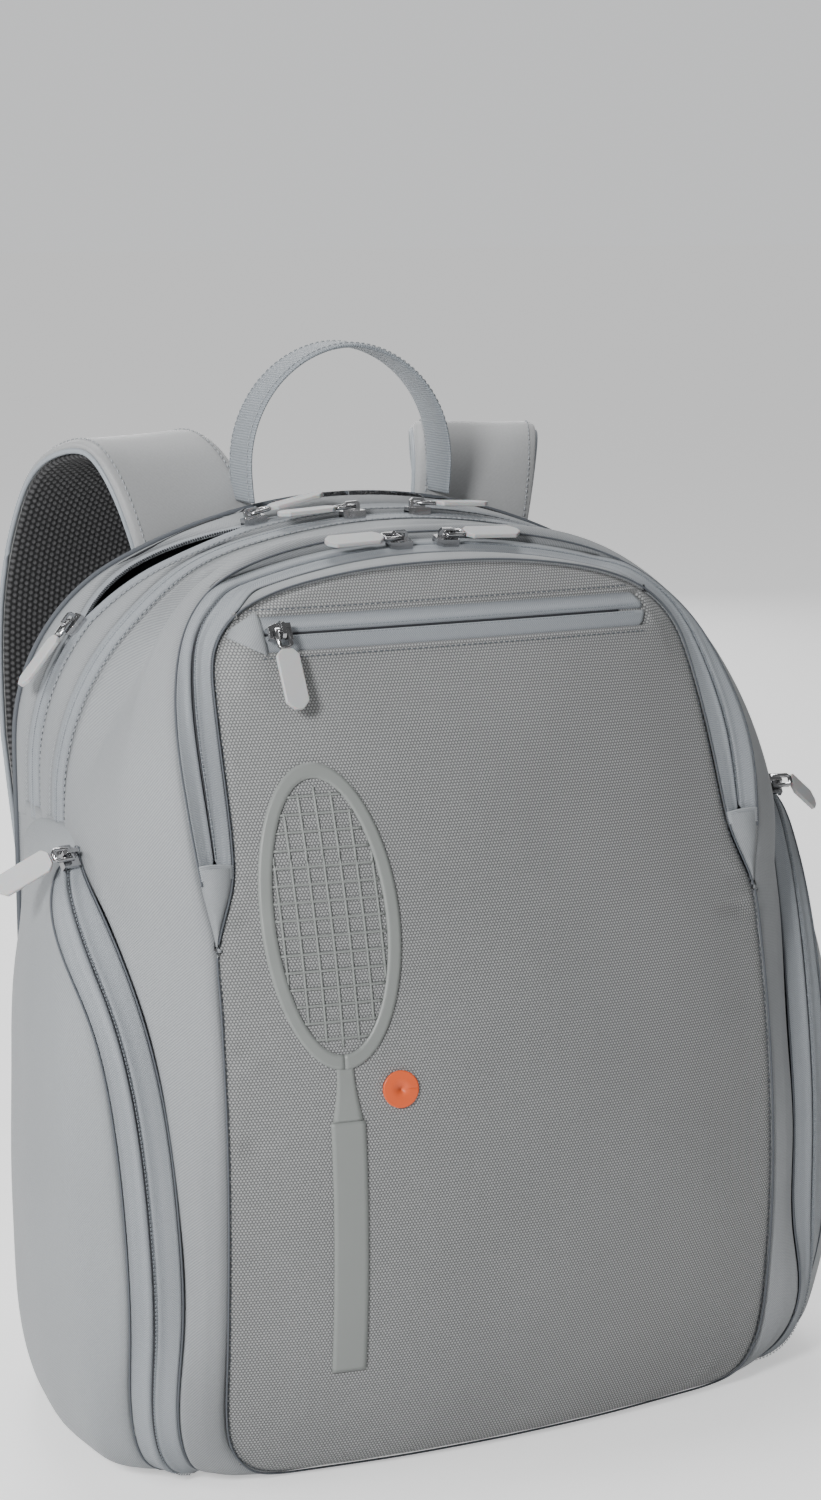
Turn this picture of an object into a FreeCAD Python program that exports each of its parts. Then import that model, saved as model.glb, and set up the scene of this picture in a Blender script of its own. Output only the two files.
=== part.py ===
import FreeCAD, Part
import os
from math import asin, cos, degrees, radians, sin, sqrt
import Sketcher
from FreeCAD import Placement, Rotation, Vector

# Racket backpack.  X runs across the bag, Y from the front face towards the wearer's back,
# Z up.  The origin is on the resting face, under the middle of the bag.

doc = FreeCAD.newDocument("racket_backpack")

# ---------------------------------------------------------------- driving dimensions

SIZES = [
    ("wall", 3.0, "shell wall, fabric with its foam and lining"),
    ("gap", 0.4, "running clearance between moving pieces"),
    ("hem", 26.0, "radius of the lower corners of every section"),
    ("sole_trim", 0.5, "sections start this far below the floor, and the base is cut flat"),
    # Sections of the body: depth, half width, height of the shoulder's centre,
    # shoulder radius, crown radius.
    ("rear_y", 104.0, "section at the back panel"),
    ("rear_half", 188.0, ""),
    ("rear_shoulder_z", 345.0, ""),
    ("rear_shoulder", 100.0, ""),
    ("rear_crown", 304.0, ""),
    ("mid_y", 21.0, "section at the main divider"),
    ("mid_half", 188.0, ""),
    ("mid_shoulder_z", 318.0, ""),
    ("mid_shoulder", 130.0, ""),
    ("mid_crown", 470.0, ""),
    ("fore_y", -40.0, "section through the front compartment"),
    ("fore_half", 174.0, ""),
    ("fore_shoulder_z", 305.0, ""),
    ("fore_shoulder", 115.0, ""),
    ("fore_crown", 246.0, ""),
    ("face_y", -112.0, "section ahead of the front face"),
    ("face_half", 152.0, ""),
    ("face_shoulder_z", 290.0, ""),
    ("face_shoulder", 100.0, ""),
    ("face_crown", 173.0, ""),
    ("front_y", -108.0, "foremost point of the domed front"),
    ("front_z", 130.0, "height of that point"),
    ("front_radius", 578.0, "front face, seen from the side"),
    ("dome_radius", 741.0, "front face, seen from above"),
    ("back_thickness", 12.0, "padded back panel"),
    ("pad_thickness", 9.0, "back pads that stand off the panel"),
    ("sheet", 2.5, "dividers and linings"),
    # Zips.
    ("tape_width", 17.0, "zip tape that shows between two seams"),
    ("side_tape_width", 24.0, "wider tape of the side pockets"),
    ("tape_thickness", 1.2, ""),
    ("coil_width", 5.0, ""),
    ("coil_height", 1.8, "coil above its tape"),
    ("racket_zip_y", 76.0, "depth of the racket zip's plane"),
    ("main_zip_y", 54.0, "depth of the main zip's plane"),
    ("zip_end_z", 314.0, "lower end of both"),
    ("racket_zip_crown", 321.0, "crown radius of that section"),
    ("main_zip_crown", 344.0, ""),
    ("front_zip_tilt", 23.9, "lean of the front zip's plane"),
    ("front_zip_y", -68.0, "its lower end"),
    ("front_zip_z", 271.0, ""),
    ("front_zip_half", 163.0, ""),
    ("front_zip_shoulder_z", 96.0, "measured along the plane from its lower end"),
    ("front_zip_shoulder", 85.0, ""),
    ("front_zip_crown", 360.0, ""),
    ("front_zip_roll", 40.0, "how far that tape turns to the front"),
    ("pocket_zip_z", 413.0, "height of the front pocket's straight zip"),
    ("pocket_zip_half", 108.0, ""),
    ("side_zip_radius", 276.0, "arc of a side pocket's zip"),
    ("side_zip_yaw", 12.75, "its plane turns out towards the back"),
    ("side_zip_x", 245.9, "centre of the arc"),
    ("side_zip_y", 190.2, ""),
    ("side_zip_z", 120.0, ""),
    ("side_zip_low", -18.0, "ends of the arc, up from level"),
    ("side_zip_high", 46.0, ""),
    # Side pockets.
    ("pocket_half", 215.0, "half width over the pockets"),
    ("pocket_plan_radius", 204.0, "bulge seen from above"),
    ("pocket_plan_y", 10.0, ""),
    ("pocket_rise_radius", 1500.0, "bulge seen from the front"),
    ("pocket_rise_z", 110.0, ""),
    ("pocket_top", 312.0, ""),
    ("pocket_base", 4.0, ""),
    ("pocket_rear_y", 98.0, ""),
    # Slider, ring and pull.
    ("slider_length", 12.0, ""),
    ("slider_width", 9.0, ""),
    ("slider_top", 4.4, "top of the slider's plate above the tape"),
    ("bridge_length", 9.0, ""),
    ("bridge_top", 9.2, ""),
    ("bridge_width", 2.0, ""),
    ("pivot_height", 6.5, "ring's bar above the tape"),
    ("wire", 1.8, "ring's bar"),
    ("ring_length", 11.0, ""),
    ("ring_width", 7.8, ""),
    ("pull_length", 31.0, ""),
    ("pull_width", 12.0, ""),
    ("pull_thickness", 2.4, ""),
    ("side_pull_droop", 50.0, "how far a side pocket's pull hangs below its ring"),
    # Handle and straps.
    ("handle_width", 29.0, "webbing of the grab handle"),
    ("handle_thickness", 2.6, ""),
    ("strap_width", 70.0, "padded shoulder strap"),
    ("strap_thickness", 8.0, "foam and outer fabric"),
    ("mesh_thickness", 4.0, "spacer mesh under the foam"),
    ("webbing_width", 25.0, ""),
    ("webbing_thickness", 1.6, ""),
    ("adjuster_width", 34.0, ""),
    ("adjuster_height", 26.0, ""),
    ("adjuster_thickness", 5.0, ""),
    # Racket opening.
    ("slot_near", -70.5, "ends of the open stretch of the racket zip"),
    ("slot_far", -152.0, ""),
    ("slot_front_y", 67.0, ""),
    ("slot_rear_y", 96.0, ""),
    ("slot_floor", 395.0, ""),
    # Raised emblem.
    ("emblem_raise", 1.2, ""),
    ("emblem_x", -94.0, ""),
    ("emblem_head_z", 282.0, ""),
    ("emblem_head_height", 142.0, ""),
    ("emblem_head_width", 68.0, ""),
    ("emblem_rim", 9.0, ""),
    ("emblem_foot_z", 56.0, ""),
    ("emblem_shaft", 17.0, ""),
    ("ball_radius", 9.0, ""),
]

sheet = doc.addObject("Spreadsheet::Sheet", "Sizes")
for row, (alias, value, note) in enumerate(SIZES, start=1):
    sheet.set(f"A{row}", str(value))
    sheet.setAlias(f"A{row}", alias)
    sheet.set(f"B{row}", note or alias.replace("_", " "))
doc.recompute()


def size(name):
    """A driving dimension as a number."""
    return float(sheet.get(name))


def bind(thing, **expressions):
    """Ties properties of an object to formulas over the sheet."""
    for prop, formula in expressions.items():
        thing.setExpression(prop, formula)


# ---------------------------------------------------------------- document helpers

FORMS = doc.addObject("App::DocumentObjectGroup", "forms")
NODES = []


def node(thing, label):
    """Names an object as one of the bag's pieces."""
    thing.Label = label
    NODES.append(thing)
    return thing


def form(thing, label):
    """Names an object that only helps to shape others."""
    thing.Label = label
    FORMS.addObject(thing)
    return thing


def cut(base, tool):
    result = doc.addObject("Part::Cut", "cut")
    result.Base = base
    result.Tool = tool
    return result


def common(base, tool):
    result = doc.addObject("Part::Common", "common")
    result.Base = base
    result.Tool = tool
    return result


def box(low, high):
    """A helper box between two corners given as formulas or numbers."""
    solid = doc.addObject("Part::Box", "zone")
    for prop, a, b in zip(("Length", "Width", "Height"), low, high):
        solid.setExpression(prop, f"({b}) - ({a})")
    for axis, a in zip("xyz", low):
        solid.setExpression(f".Placement.Base.{axis}", f"{a}")
    return form(solid, "zone")


def datum(body, role):
    """One of a body's own origin planes or axes."""
    return next(f for f in body.Origin.OriginFeatures if f.Role == role)


def new_body(label):
    return doc.addObject("PartDesign::Body", label)


def new_sketch(body, name, role, offset=None):
    """A sketch on one of the body's own origin planes, moved along its normal."""
    sketch = body.newObject("Sketcher::SketchObject", name)
    sketch.AttachmentSupport = [(datum(body, role), "")]
    sketch.MapMode = "FlatFace"
    if offset is not None:
        sketch.setExpression(".AttachmentOffset.Base.z", offset)
    return sketch


def polygon(sketch, points):
    """A closed chain of lines whose corners are bound to pairs of formulas."""
    count = len(points)
    flat = [Vector(evaluate(sketch, a), evaluate(sketch, b), 0) for a, b in points]
    for i in range(count):
        sketch.addGeometry(Part.LineSegment(flat[i], flat[(i + 1) % count]))
    for i in range(count):
        sketch.addConstraint(Sketcher.Constraint("Coincident", i, 2, (i + 1) % count, 1))
    for i, (a, b) in enumerate(points):
        for kind, formula, value in (("DistanceX", a, flat[i].x), ("DistanceY", b, flat[i].y)):
            index = sketch.addConstraint(Sketcher.Constraint(kind, -1, 1, i, 1, value))
            sketch.setExpression(f"Constraints[{index}]", f"{formula}")


def evaluate(thing, formula):
    value = thing.evalExpression(str(formula))
    return float(getattr(value, "Value", value))


def pad(body, sketch, length, symmetric=False, name="pad"):
    feature = body.newObject("PartDesign::Pad", name)
    feature.Profile = sketch
    feature.setExpression("Length", length)
    if symmetric:
        feature.SideType = "Symmetric"
    return feature


def pocket(body, sketch, length, symmetric=False, name="pocket"):
    feature = body.newObject("PartDesign::Pocket", name)
    feature.Profile = sketch
    feature.setExpression("Length", length)
    if symmetric:
        feature.SideType = "Symmetric"
    return feature


# ---------------------------------------------------------------- arch sections

def arch(sketch, half, low, shoulder_z, shoulder, crown, hem="Sizes.hem"):
    """The bag's outline: flat base, upright sides, shoulders and a shallow crown, all tangent."""
    w, z0, zs, rs, rt, rb = (evaluate(sketch, f) for f in (half, low, shoulder_z, shoulder, crown, hem))
    centre = zs - sqrt((rt - rs) ** 2 - (w - rs) ** 2)
    turn = asin((w - rs) / (rt - rs))
    meet = radians(90) - turn
    up = Vector(0, 0, 1)

    def arc(cx, cz, radius, start, end):
        circle = Part.Circle(Vector(cx, cz, 0), up, radius)
        return Part.ArcOfCircle(circle, start, end)

    half_turn = radians(180)
    sketch.addGeometry([
        Part.LineSegment(Vector(rb - w, z0, 0), Vector(w - rb, z0, 0)),
        arc(w - rb, z0 + rb, rb, -half_turn / 2, 0),
        Part.LineSegment(Vector(w, z0 + rb, 0), Vector(w, zs, 0)),
        arc(w - rs, zs, rs, 0, meet),
        arc(0, centre, rt, meet, half_turn - meet),
        arc(rs - w, zs, rs, half_turn - meet, half_turn),
        Part.LineSegment(Vector(-w, zs, 0), Vector(-w, z0 + rb, 0)),
        arc(rb - w, z0 + rb, rb, half_turn, 1.5 * half_turn),
    ])
    # Every curve runs anticlockwise, so each one's end meets the next one's start.
    sketch.addConstraint([Sketcher.Constraint("Tangent", i, 2, (i + 1) % 8, 1) for i in range(8)])
    sketch.addConstraint([
        Sketcher.Constraint("Symmetric", 2, 1, 6, 2, -2),
        Sketcher.Constraint("Symmetric", 2, 2, 6, 1, -2),
        Sketcher.Constraint("Vertical", 2),
        Sketcher.Constraint("Equal", 1, 7),
        Sketcher.Constraint("Equal", 3, 5),
    ])
    for constraint, formula in (
        (Sketcher.Constraint("DistanceX", -1, 1, 2, 1, w), half),
        (Sketcher.Constraint("DistanceY", -1, 1, 2, 1, z0 + rb), f"({low}) + ({hem})"),
        (Sketcher.Constraint("DistanceY", -1, 1, 2, 2, zs), shoulder_z),
        (Sketcher.Constraint("Radius", 1, rb), hem),
        (Sketcher.Constraint("Radius", 3, rs), shoulder),
        (Sketcher.Constraint("Radius", 4, rt), crown),
    ):
        index = sketch.addConstraint(constraint)
        sketch.setExpression(f"Constraints[{index}]", f"{formula}")


def inset_arch(sketch, station, inset):
    """A station's outline, moved inwards by a formula."""
    arch(sketch, f"Sizes.{station}_half - ({inset})", f"({inset}) - Sizes.sole_trim",
         f"Sizes.{station}_shoulder_z",
         f"Sizes.{station}_shoulder - ({inset})", f"Sizes.{station}_crown - ({inset})",
         f"Sizes.hem - ({inset})")


STATIONS = ("rear", "mid", "fore", "face")


def bag_form(label, inset):
    """The bag's volume, every face moved inwards by a formula."""
    body = new_body(label + "_loft")
    sections = []
    for station in STATIONS:
        sketch = new_sketch(body, f"{station}_section", "XZ_Plane", f"-Sizes.{station}_y")
        inset_arch(sketch, station, inset)
        sections.append(sketch)
    loft = body.newObject("PartDesign::AdditiveLoft", "loft")
    loft.Profile = sections[0]
    loft.Sections = sections[1:]
    loft.Ruled = True
    form(body, label + "_loft")

    # A barrel about a level axis behind the bag rounds the front in both directions.
    barrel = new_body(label + "_barrel")
    outline = new_sketch(barrel, "outline", "XY_Plane")
    half = size("rear_half") * 1.2
    radius = size("dome_radius")
    reach = evaluate(outline, f"Sizes.front_radius - ({inset})")
    sag = radius - sqrt(radius ** 2 - half ** 2)
    rise = Vector(half, reach - sag, 0)
    top = Vector(0, reach, 0)
    fall = Vector(-half, reach - sag, 0)
    outline.addGeometry([
        Part.LineSegment(Vector(-half, 0, 0), Vector(half, 0, 0)),
        Part.LineSegment(Vector(half, 0, 0), rise),
        Part.Arc(rise, top, fall),
        Part.LineSegment(fall, Vector(-half, 0, 0)),
    ])
    outline.addConstraint([
        Sketcher.Constraint("Coincident", 0, 2, 1, 1),
        Sketcher.Constraint("Coincident", 1, 2, 2, 1),
        Sketcher.Constraint("Coincident", 2, 2, 3, 1),
        Sketcher.Constraint("Coincident", 3, 2, 0, 1),
        Sketcher.Constraint("PointOnObject", 2, 3, -2),
        Sketcher.Constraint("PointOnObject", 0, 1, -1),
        Sketcher.Constraint("PointOnObject", 0, 2, -1),
        Sketcher.Constraint("Vertical", 1),
        Sketcher.Constraint("Vertical", 3),
    ])
    for constraint, formula in (
        (Sketcher.Constraint("DistanceX", -1, 1, 0, 2, half), "Sizes.rear_half * 1.2"),
        (Sketcher.Constraint("Radius", 2, radius), "Sizes.dome_radius"),
        (Sketcher.Constraint("DistanceY", -1, 1, 2, 3, reach - radius),
         f"Sizes.front_radius - ({inset}) - Sizes.dome_radius"),
    ):
        index = outline.addConstraint(constraint)
        outline.setExpression(f"Constraints[{index}]", formula)
    turn = barrel.newObject("PartDesign::Revolution", "turn")
    turn.Profile = outline
    turn.ReferenceAxis = (outline, ["H_Axis"])
    turn.Angle = 360
    barrel.setExpression(".Placement.Base.y", "Sizes.front_y + Sizes.front_radius")
    barrel.setExpression(".Placement.Base.z", "Sizes.front_z")
    form(barrel, label + "_barrel")
    above_floor = box(("-300", "-200", "0"), ("300", "200", "600"))
    return form(common(common(body, barrel), above_floor), label)


outer = bag_form("outer_form", "0")
inner = bag_form("inner_form", "Sizes.wall")
wall = form(cut(outer, inner), "wall_form")

# ---------------------------------------------------------------- fabric shells

SPAN = "Sizes.rear_half + 60"
ROOF = "Sizes.rear_shoulder_z + 200"


def slab(y_low, y_high, z_low="-20", z_high=ROOF):
    """A zone across the whole bag between two depths."""
    return box((f"-({SPAN})", y_low, z_low), (SPAN, y_high, z_high))


def tilted_slab(low, high):
    """A zone along the front zip's plane, between two distances from it."""
    solid = doc.addObject("Part::Box", "zone")
    bind(solid, Length=f"2 * ({SPAN})", Width=f"({high}) - ({low})", Height="800")
    turn = Rotation(Vector(1, 0, 0), -size("front_zip_tilt"))
    corner = Vector(0, size("front_zip_y"), size("front_zip_z"))
    corner += turn.multVec(Vector(-evaluate(solid, SPAN), evaluate(solid, low), -200))
    solid.Placement = Placement(corner, turn)
    return form(solid, "tilted zone")


def fuse(*parts):
    result = doc.addObject("Part::MultiFuse", "join")
    result.Shapes = list(parts)
    return form(result, "join")


HALF_TAPE = "Sizes.tape_width / 2"


def zip_slab(y_name):
    """The strip of shell that a level zip's tape takes the place of."""
    return slab(f"Sizes.{y_name} - {HALF_TAPE}", f"Sizes.{y_name} + {HALF_TAPE}", "Sizes.zip_end_z")


racket_slot = box(("Sizes.slot_far", "Sizes.slot_front_y", "Sizes.slot_floor"),
                  ("Sizes.slot_near", "Sizes.slot_rear_y", ROOF))

pocket_slot = doc.addObject("Part::Box", "zone")
lean = degrees(asin((size("pocket_zip_z") - size("front_z")) / size("front_radius")))
zip_line_y = size("front_y") + size("front_radius") * (1 - cos(radians(lean)))
bind(pocket_slot, Length="2 * Sizes.pocket_zip_half", Width="Sizes.tape_width", Height="60")
face_turn = Rotation(Vector(1, 0, 0), 90 - lean)
pocket_slot.Placement = Placement(
    Vector(-size("pocket_zip_half"), zip_line_y, size("pocket_zip_z"))
    + face_turn.multVec(Vector(0, -size("tape_width") / 2, -30)), face_turn)
form(pocket_slot, "front pocket slot")

main = cut(common(wall, slab("Sizes.mid_y", f"Sizes.racket_zip_y - {HALF_TAPE}")),
           zip_slab("main_zip_y"))
node(main, "main_shell")

racket = cut(common(wall, slab(f"Sizes.racket_zip_y - {HALF_TAPE}", "Sizes.rear_y")),
             fuse(zip_slab("racket_zip_y"), racket_slot))
node(racket, "racket_shell")


# ---------------------------------------------------------------- back panel and pads

def plate(label, y_from, thickness, inset, rounding):
    """An arch-shaped plate with a softened rear edge."""
    body = new_body(label)
    sketch = new_sketch(body, "outline", "XZ_Plane", f"-({y_from}) - ({thickness})")
    inset_arch(sketch, "rear", inset)
    pad(body, sketch, thickness)
    doc.recompute()
    solid = body.Tip
    rear = max(range(len(solid.Shape.Faces)), key=lambda i: solid.Shape.Faces[i].CenterOfMass.y)
    soften = body.newObject("PartDesign::Fillet", "soften")
    soften.Base = (solid, [f"Face{rear + 1}"])
    soften.Radius = rounding
    return node(body, label)


plate("back_panel", "Sizes.rear_y", "Sizes.back_thickness", "0", 6.0)


def rounded_pad(label, x_low, x_high, z_low, z_high, corner, y_from, thickness, soft):
    """A flat pad with round corners and a softened rear face."""
    body = new_body(label)
    sketch = new_sketch(body, "outline", "XZ_Plane", f"-({y_from}) - ({thickness})")
    polygon(sketch, [(x_low, z_low), (x_high, z_low), (x_high, z_high), (x_low, z_high)])
    feature = pad(body, sketch, thickness)
    doc.recompute()
    edges = [f"Edge{i + 1}" for i, e in enumerate(feature.Shape.Edges)
             if abs(e.tangentAt(e.FirstParameter).y) > 0.9]
    corners = body.newObject("PartDesign::Fillet", "corners")
    corners.Base = (feature, edges)
    corners.Radius = corner
    doc.recompute()
    rear = max(range(len(corners.Shape.Faces)), key=lambda i: corners.Shape.Faces[i].CenterOfMass.y)
    soften = body.newObject("PartDesign::Fillet", "soften")
    soften.Base = (corners, [f"Face{rear + 1}"])
    soften.Radius = soft
    return node(body, label)


BACK_FACE = "Sizes.rear_y + Sizes.back_thickness"
for side, near, far in (("left", -134, -22), ("right", 22, 134)):
    rounded_pad(f"back_pad_{side}", near, far, 70, 408, 34.0, BACK_FACE, "Sizes.pad_thickness", 5.0)


# ---------------------------------------------------------------- inside

FLOOR = "Sizes.wall + 5"


def divider(label, y_low, top):
    """A fabric wall across the bag, standing on the base board."""
    zone = slab(y_low, f"({y_low}) + Sizes.sheet", FLOOR, top)
    return node(common(inner, zone), label)


divider("racket_divider", f"Sizes.racket_zip_y - {HALF_TAPE} - Sizes.sheet - 3", "Sizes.rear_shoulder_z + 90")
divider("main_divider", "Sizes.mid_y - Sizes.sheet", "Sizes.mid_shoulder_z + 90")

board = doc.addObject("Part::Box", "base_board")
bind(board, Length="2 * (Sizes.face_half - 8)", Width="Sizes.rear_y - Sizes.front_y - 55", Height="4")
board.setExpression(".Placement.Base.x", "8 - Sizes.face_half")
board.setExpression(".Placement.Base.y", "Sizes.front_y + 45")
board.setExpression(".Placement.Base.z", "Sizes.wall + 0.5")
node(board, "base_board")

sleeve = new_body("laptop_sleeve")
sleeve_outline = new_sketch(sleeve, "outline", "XZ_Plane", "-Sizes.racket_zip_y + 16")
polygon(sleeve_outline, [(-140, 12), (140, 12), (140, 262), (-140, 262)])
pad(sleeve, sleeve_outline, "26")
sleeve_hollow = new_sketch(sleeve, "hollow", "XZ_Plane", "-Sizes.racket_zip_y + 19")
polygon(sleeve_hollow, [(-137, 15), (137, 15), (137, 270), (-137, 270)])
pocket(sleeve, sleeve_hollow, "20").Reversed = True
node(sleeve, "laptop_sleeve")

lining = doc.addObject("Part::Box", "front_pocket_lining")
bind(lining, Length="2 * Sizes.pocket_zip_half - 10", Width="150", Height="Sizes.sheet")
lining_turn = Rotation(Vector(1, 0, 0), 90 - 17.5)
lining.Placement = Placement(Vector(5 - size("pocket_zip_half"), -68, 248), lining_turn)
node(lining, "front_pocket_lining")


# ---------------------------------------------------------------- zips

def tee(sketch, width="Sizes.tape_width"):
    """A tape's cross-section with its coil: X points out of the fabric, Y across the tape."""
    low = "-Sizes.tape_thickness"
    edge = f"({width}) / 2"
    coil = "Sizes.coil_width / 2"
    top = "Sizes.coil_height"
    polygon(sketch, [(low, f"-({edge})"), ("0", f"-({edge})"), ("0", f"-({coil})"), (top, f"-({coil})"),
                     (top, coil), ("0", coil), ("0", edge), (low, edge)])


def open_arch(sketch, half, low, shoulder_z, shoulder, crown):
    """The upright sides, shoulders and crown of an outline, from one lower end to the other."""
    w, z0, zs, rs, rt = (evaluate(sketch, f) for f in (half, low, shoulder_z, shoulder, crown))
    centre = zs - sqrt((rt - rs) ** 2 - (w - rs) ** 2)
    meet = radians(90) - asin((w - rs) / (rt - rs))
    up = Vector(0, 0, 1)
    half_turn = radians(180)
    right = Part.Circle(Vector(w - rs, zs, 0), up, rs)
    middle = Part.Circle(Vector(0, centre, 0), up, rt)
    left = Part.Circle(Vector(rs - w, zs, 0), up, rs)
    sketch.addGeometry([
        Part.LineSegment(Vector(w, z0, 0), Vector(w, zs, 0)),
        Part.ArcOfCircle(right, 0, meet),
        Part.ArcOfCircle(middle, meet, half_turn - meet),
        Part.ArcOfCircle(left, half_turn - meet, half_turn),
        Part.LineSegment(Vector(-w, zs, 0), Vector(-w, z0, 0)),
    ])
    sketch.addConstraint([Sketcher.Constraint("Tangent", i, 2, i + 1, 1) for i in range(4)])
    sketch.addConstraint([
        Sketcher.Constraint("Symmetric", 0, 1, 4, 2, -2),
        Sketcher.Constraint("Symmetric", 0, 2, 4, 1, -2),
        Sketcher.Constraint("Vertical", 0),
        Sketcher.Constraint("Equal", 1, 3),
    ])
    for constraint, formula in (
        (Sketcher.Constraint("DistanceX", -1, 1, 0, 1, w), half),
        (Sketcher.Constraint("DistanceY", -1, 1, 0, 1, z0), low),
        (Sketcher.Constraint("DistanceY", -1, 1, 0, 2, zs), shoulder_z),
        (Sketcher.Constraint("Radius", 1, rs), shoulder),
        (Sketcher.Constraint("Radius", 2, rt), crown),
    ):
        index = sketch.addConstraint(constraint)
        sketch.setExpression(f"Constraints[{index}]", f"{formula}")
    return centre


class Arch:
    """A zip's path in its own plane, and where a slider stands on it."""

    def __init__(self, half, low, shoulder_z, shoulder, crown, place, roll=0.0):
        self.formulas = (half, low, shoulder_z, shoulder, crown)
        self.place = place
        self.roll = roll
        self.half, _, self.shoulder_z, self.shoulder, self.crown = (
            evaluate(sheet, f) for f in self.formulas)
        self.reach = self.half - self.shoulder
        self.centre = self.shoulder_z - sqrt((self.crown - self.shoulder) ** 2 - self.reach ** 2)

    def on_crown(self, angle):
        """A slider's placement on the crown, at an angle from the top."""
        return self._stand(Vector(0, 0, self.centre), self.crown, angle)

    def on_shoulder(self, angle):
        """The same on the left shoulder."""
        return self._stand(Vector(-self.reach, 0, self.shoulder_z), self.shoulder, angle)

    def _stand(self, centre, radius, angle):
        turn = Rotation(Vector(0, 1, 0), angle)
        spot = centre + turn.multVec(Vector(0, 0, radius))
        return self.place * Placement(spot, turn * Rotation(Vector(1, 0, 0), self.roll))


def trench(sketch):
    """A cross-section that clears the fabric over a tape."""
    edge = "(Sizes.tape_width / 2 + 0.3)"
    polygon(sketch, [("-5", f"-{edge}"), ("24", f"-{edge}"), ("24", edge), ("-5", edge)])


def arch_zip(label, path, profile=tee):
    """A cross-section, by default tape and coil, swept along an arch."""
    body = new_body(label)
    spine = new_sketch(body, "spine", "XZ_Plane")
    open_arch(spine, *path.formulas)
    section = new_sketch(body, "section", "XY_Plane", path.formulas[1])
    section.setExpression(".AttachmentOffset.Base.x", path.formulas[0])
    section.setExpression(".AttachmentOffset.Rotation.Angle", str(-path.roll))
    profile(section)
    doc.recompute()
    sweep = body.newObject("PartDesign::AdditivePipe", "sweep")
    sweep.Profile = section
    sweep.Spine = spine
    body.Placement = path.place
    return body


def along(y_name):
    """How far a zip's plane lies from the mid section towards the rear one."""
    return f"((Sizes.{y_name} - Sizes.mid_y) / (Sizes.rear_y - Sizes.mid_y))"


def level_arch(y_name, crown):
    def between(what):
        return f"(Sizes.mid_{what} + (Sizes.rear_{what} - Sizes.mid_{what}) * {along(y_name)})"
    return Arch(between("half"), "Sizes.zip_end_z", between("shoulder_z"), between("shoulder"),
                crown, Placement(Vector(0, size(y_name), 0), Rotation()))


racket_path = level_arch("racket_zip_y", "Sizes.racket_zip_crown")
main_path = level_arch("main_zip_y", "Sizes.main_zip_crown")
front_path = Arch(
    "Sizes.front_zip_half", "0", "Sizes.front_zip_shoulder_z", "Sizes.front_zip_shoulder",
    "Sizes.front_zip_crown",
    Placement(Vector(0, size("front_zip_y"), size("front_zip_z")),
              Rotation(Vector(1, 0, 0), -size("front_zip_tilt"))),
    size("front_zip_roll"))

# The front panel lies ahead of the front zip's plane, and ahead of its lower end below that.
ahead = common(tilted_slab("-400", "0"), slab("-200", "200", "Sizes.front_zip_z"))
ahead = fuse(ahead, slab("-200", "Sizes.front_zip_y - 12", "-20", "Sizes.front_zip_z"))
channel = form(arch_zip("front_zip_trench", front_path, trench), "front_zip_trench")
whole_gusset = cut(common(wall, slab("-200", "Sizes.mid_y")), ahead)
node(cut(whole_gusset, channel), "front_gusset")
node(cut(cut(common(wall, ahead), channel), pocket_slot), "front_panel")

racket_tape = form(arch_zip("racket_zip_whole", racket_path), "racket_zip_whole")
node(cut(racket_tape, racket_slot), "racket_zip_chain")
node(arch_zip("main_zip_chain", main_path), "main_zip_chain")
node(arch_zip("front_zip_chain", front_path), "front_zip_chain")

straight = new_body("front_pocket_zip_chain")
section = new_sketch(straight, "section", "YZ_Plane")
section.AttachmentOffset = Placement(Vector(), Rotation(Vector(0, 0, 1), 90))
tee(section)
pad(straight, section, "2 * Sizes.pocket_zip_half", symmetric=True)
straight.Placement = Placement(Vector(0, zip_line_y, size("pocket_zip_z")), face_turn)
node(straight, "front_pocket_zip_chain")


def side_frame(sign):
    """A side zip's own axes: Z is the arc's axis, X points forward, Y down."""
    yaw = radians(size("side_zip_yaw"))
    axis = Vector(cos(yaw), -sign * sin(yaw), 0)
    ahead_axis = Vector(-sign * sin(yaw), -cos(yaw), 0)
    turn = Rotation(ahead_axis, Vector(0, 0, -1), axis, "ZXY")
    centre = Vector(sign * size("side_zip_x"), size("side_zip_y"), size("side_zip_z"))
    return Placement(centre, turn)


SIDES = (("left", -1), ("right", 1))
for side, sign in SIDES:
    chain = new_body(f"side_zip_chain_{side}")
    section = new_sketch(chain, "section", "XZ_Plane")
    section.setExpression(".AttachmentOffset.Base.x", "Sizes.side_zip_radius")
    tee(section, "Sizes.side_tape_width")
    sweep = chain.newObject("PartDesign::Revolution", "sweep")
    sweep.Profile = section
    sweep.ReferenceAxis = (datum(chain, "Z_Axis"), [""])
    sweep.setExpression("Angle", "(Sizes.side_zip_high - Sizes.side_zip_low) * 1 deg")
    chain.Placement = side_frame(sign) * Placement(Vector(), Rotation(Vector(0, 0, 1), -size("side_zip_high")))
    node(chain, f"side_zip_chain_{side}")


# ---------------------------------------------------------------- side pockets

def cylinder(radius, height, place):
    solid = doc.addObject("Part::Cylinder", "bulge")
    bind(solid, Radius=radius, Height=height)
    solid.Placement = place
    return form(solid, "bulge")


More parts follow.
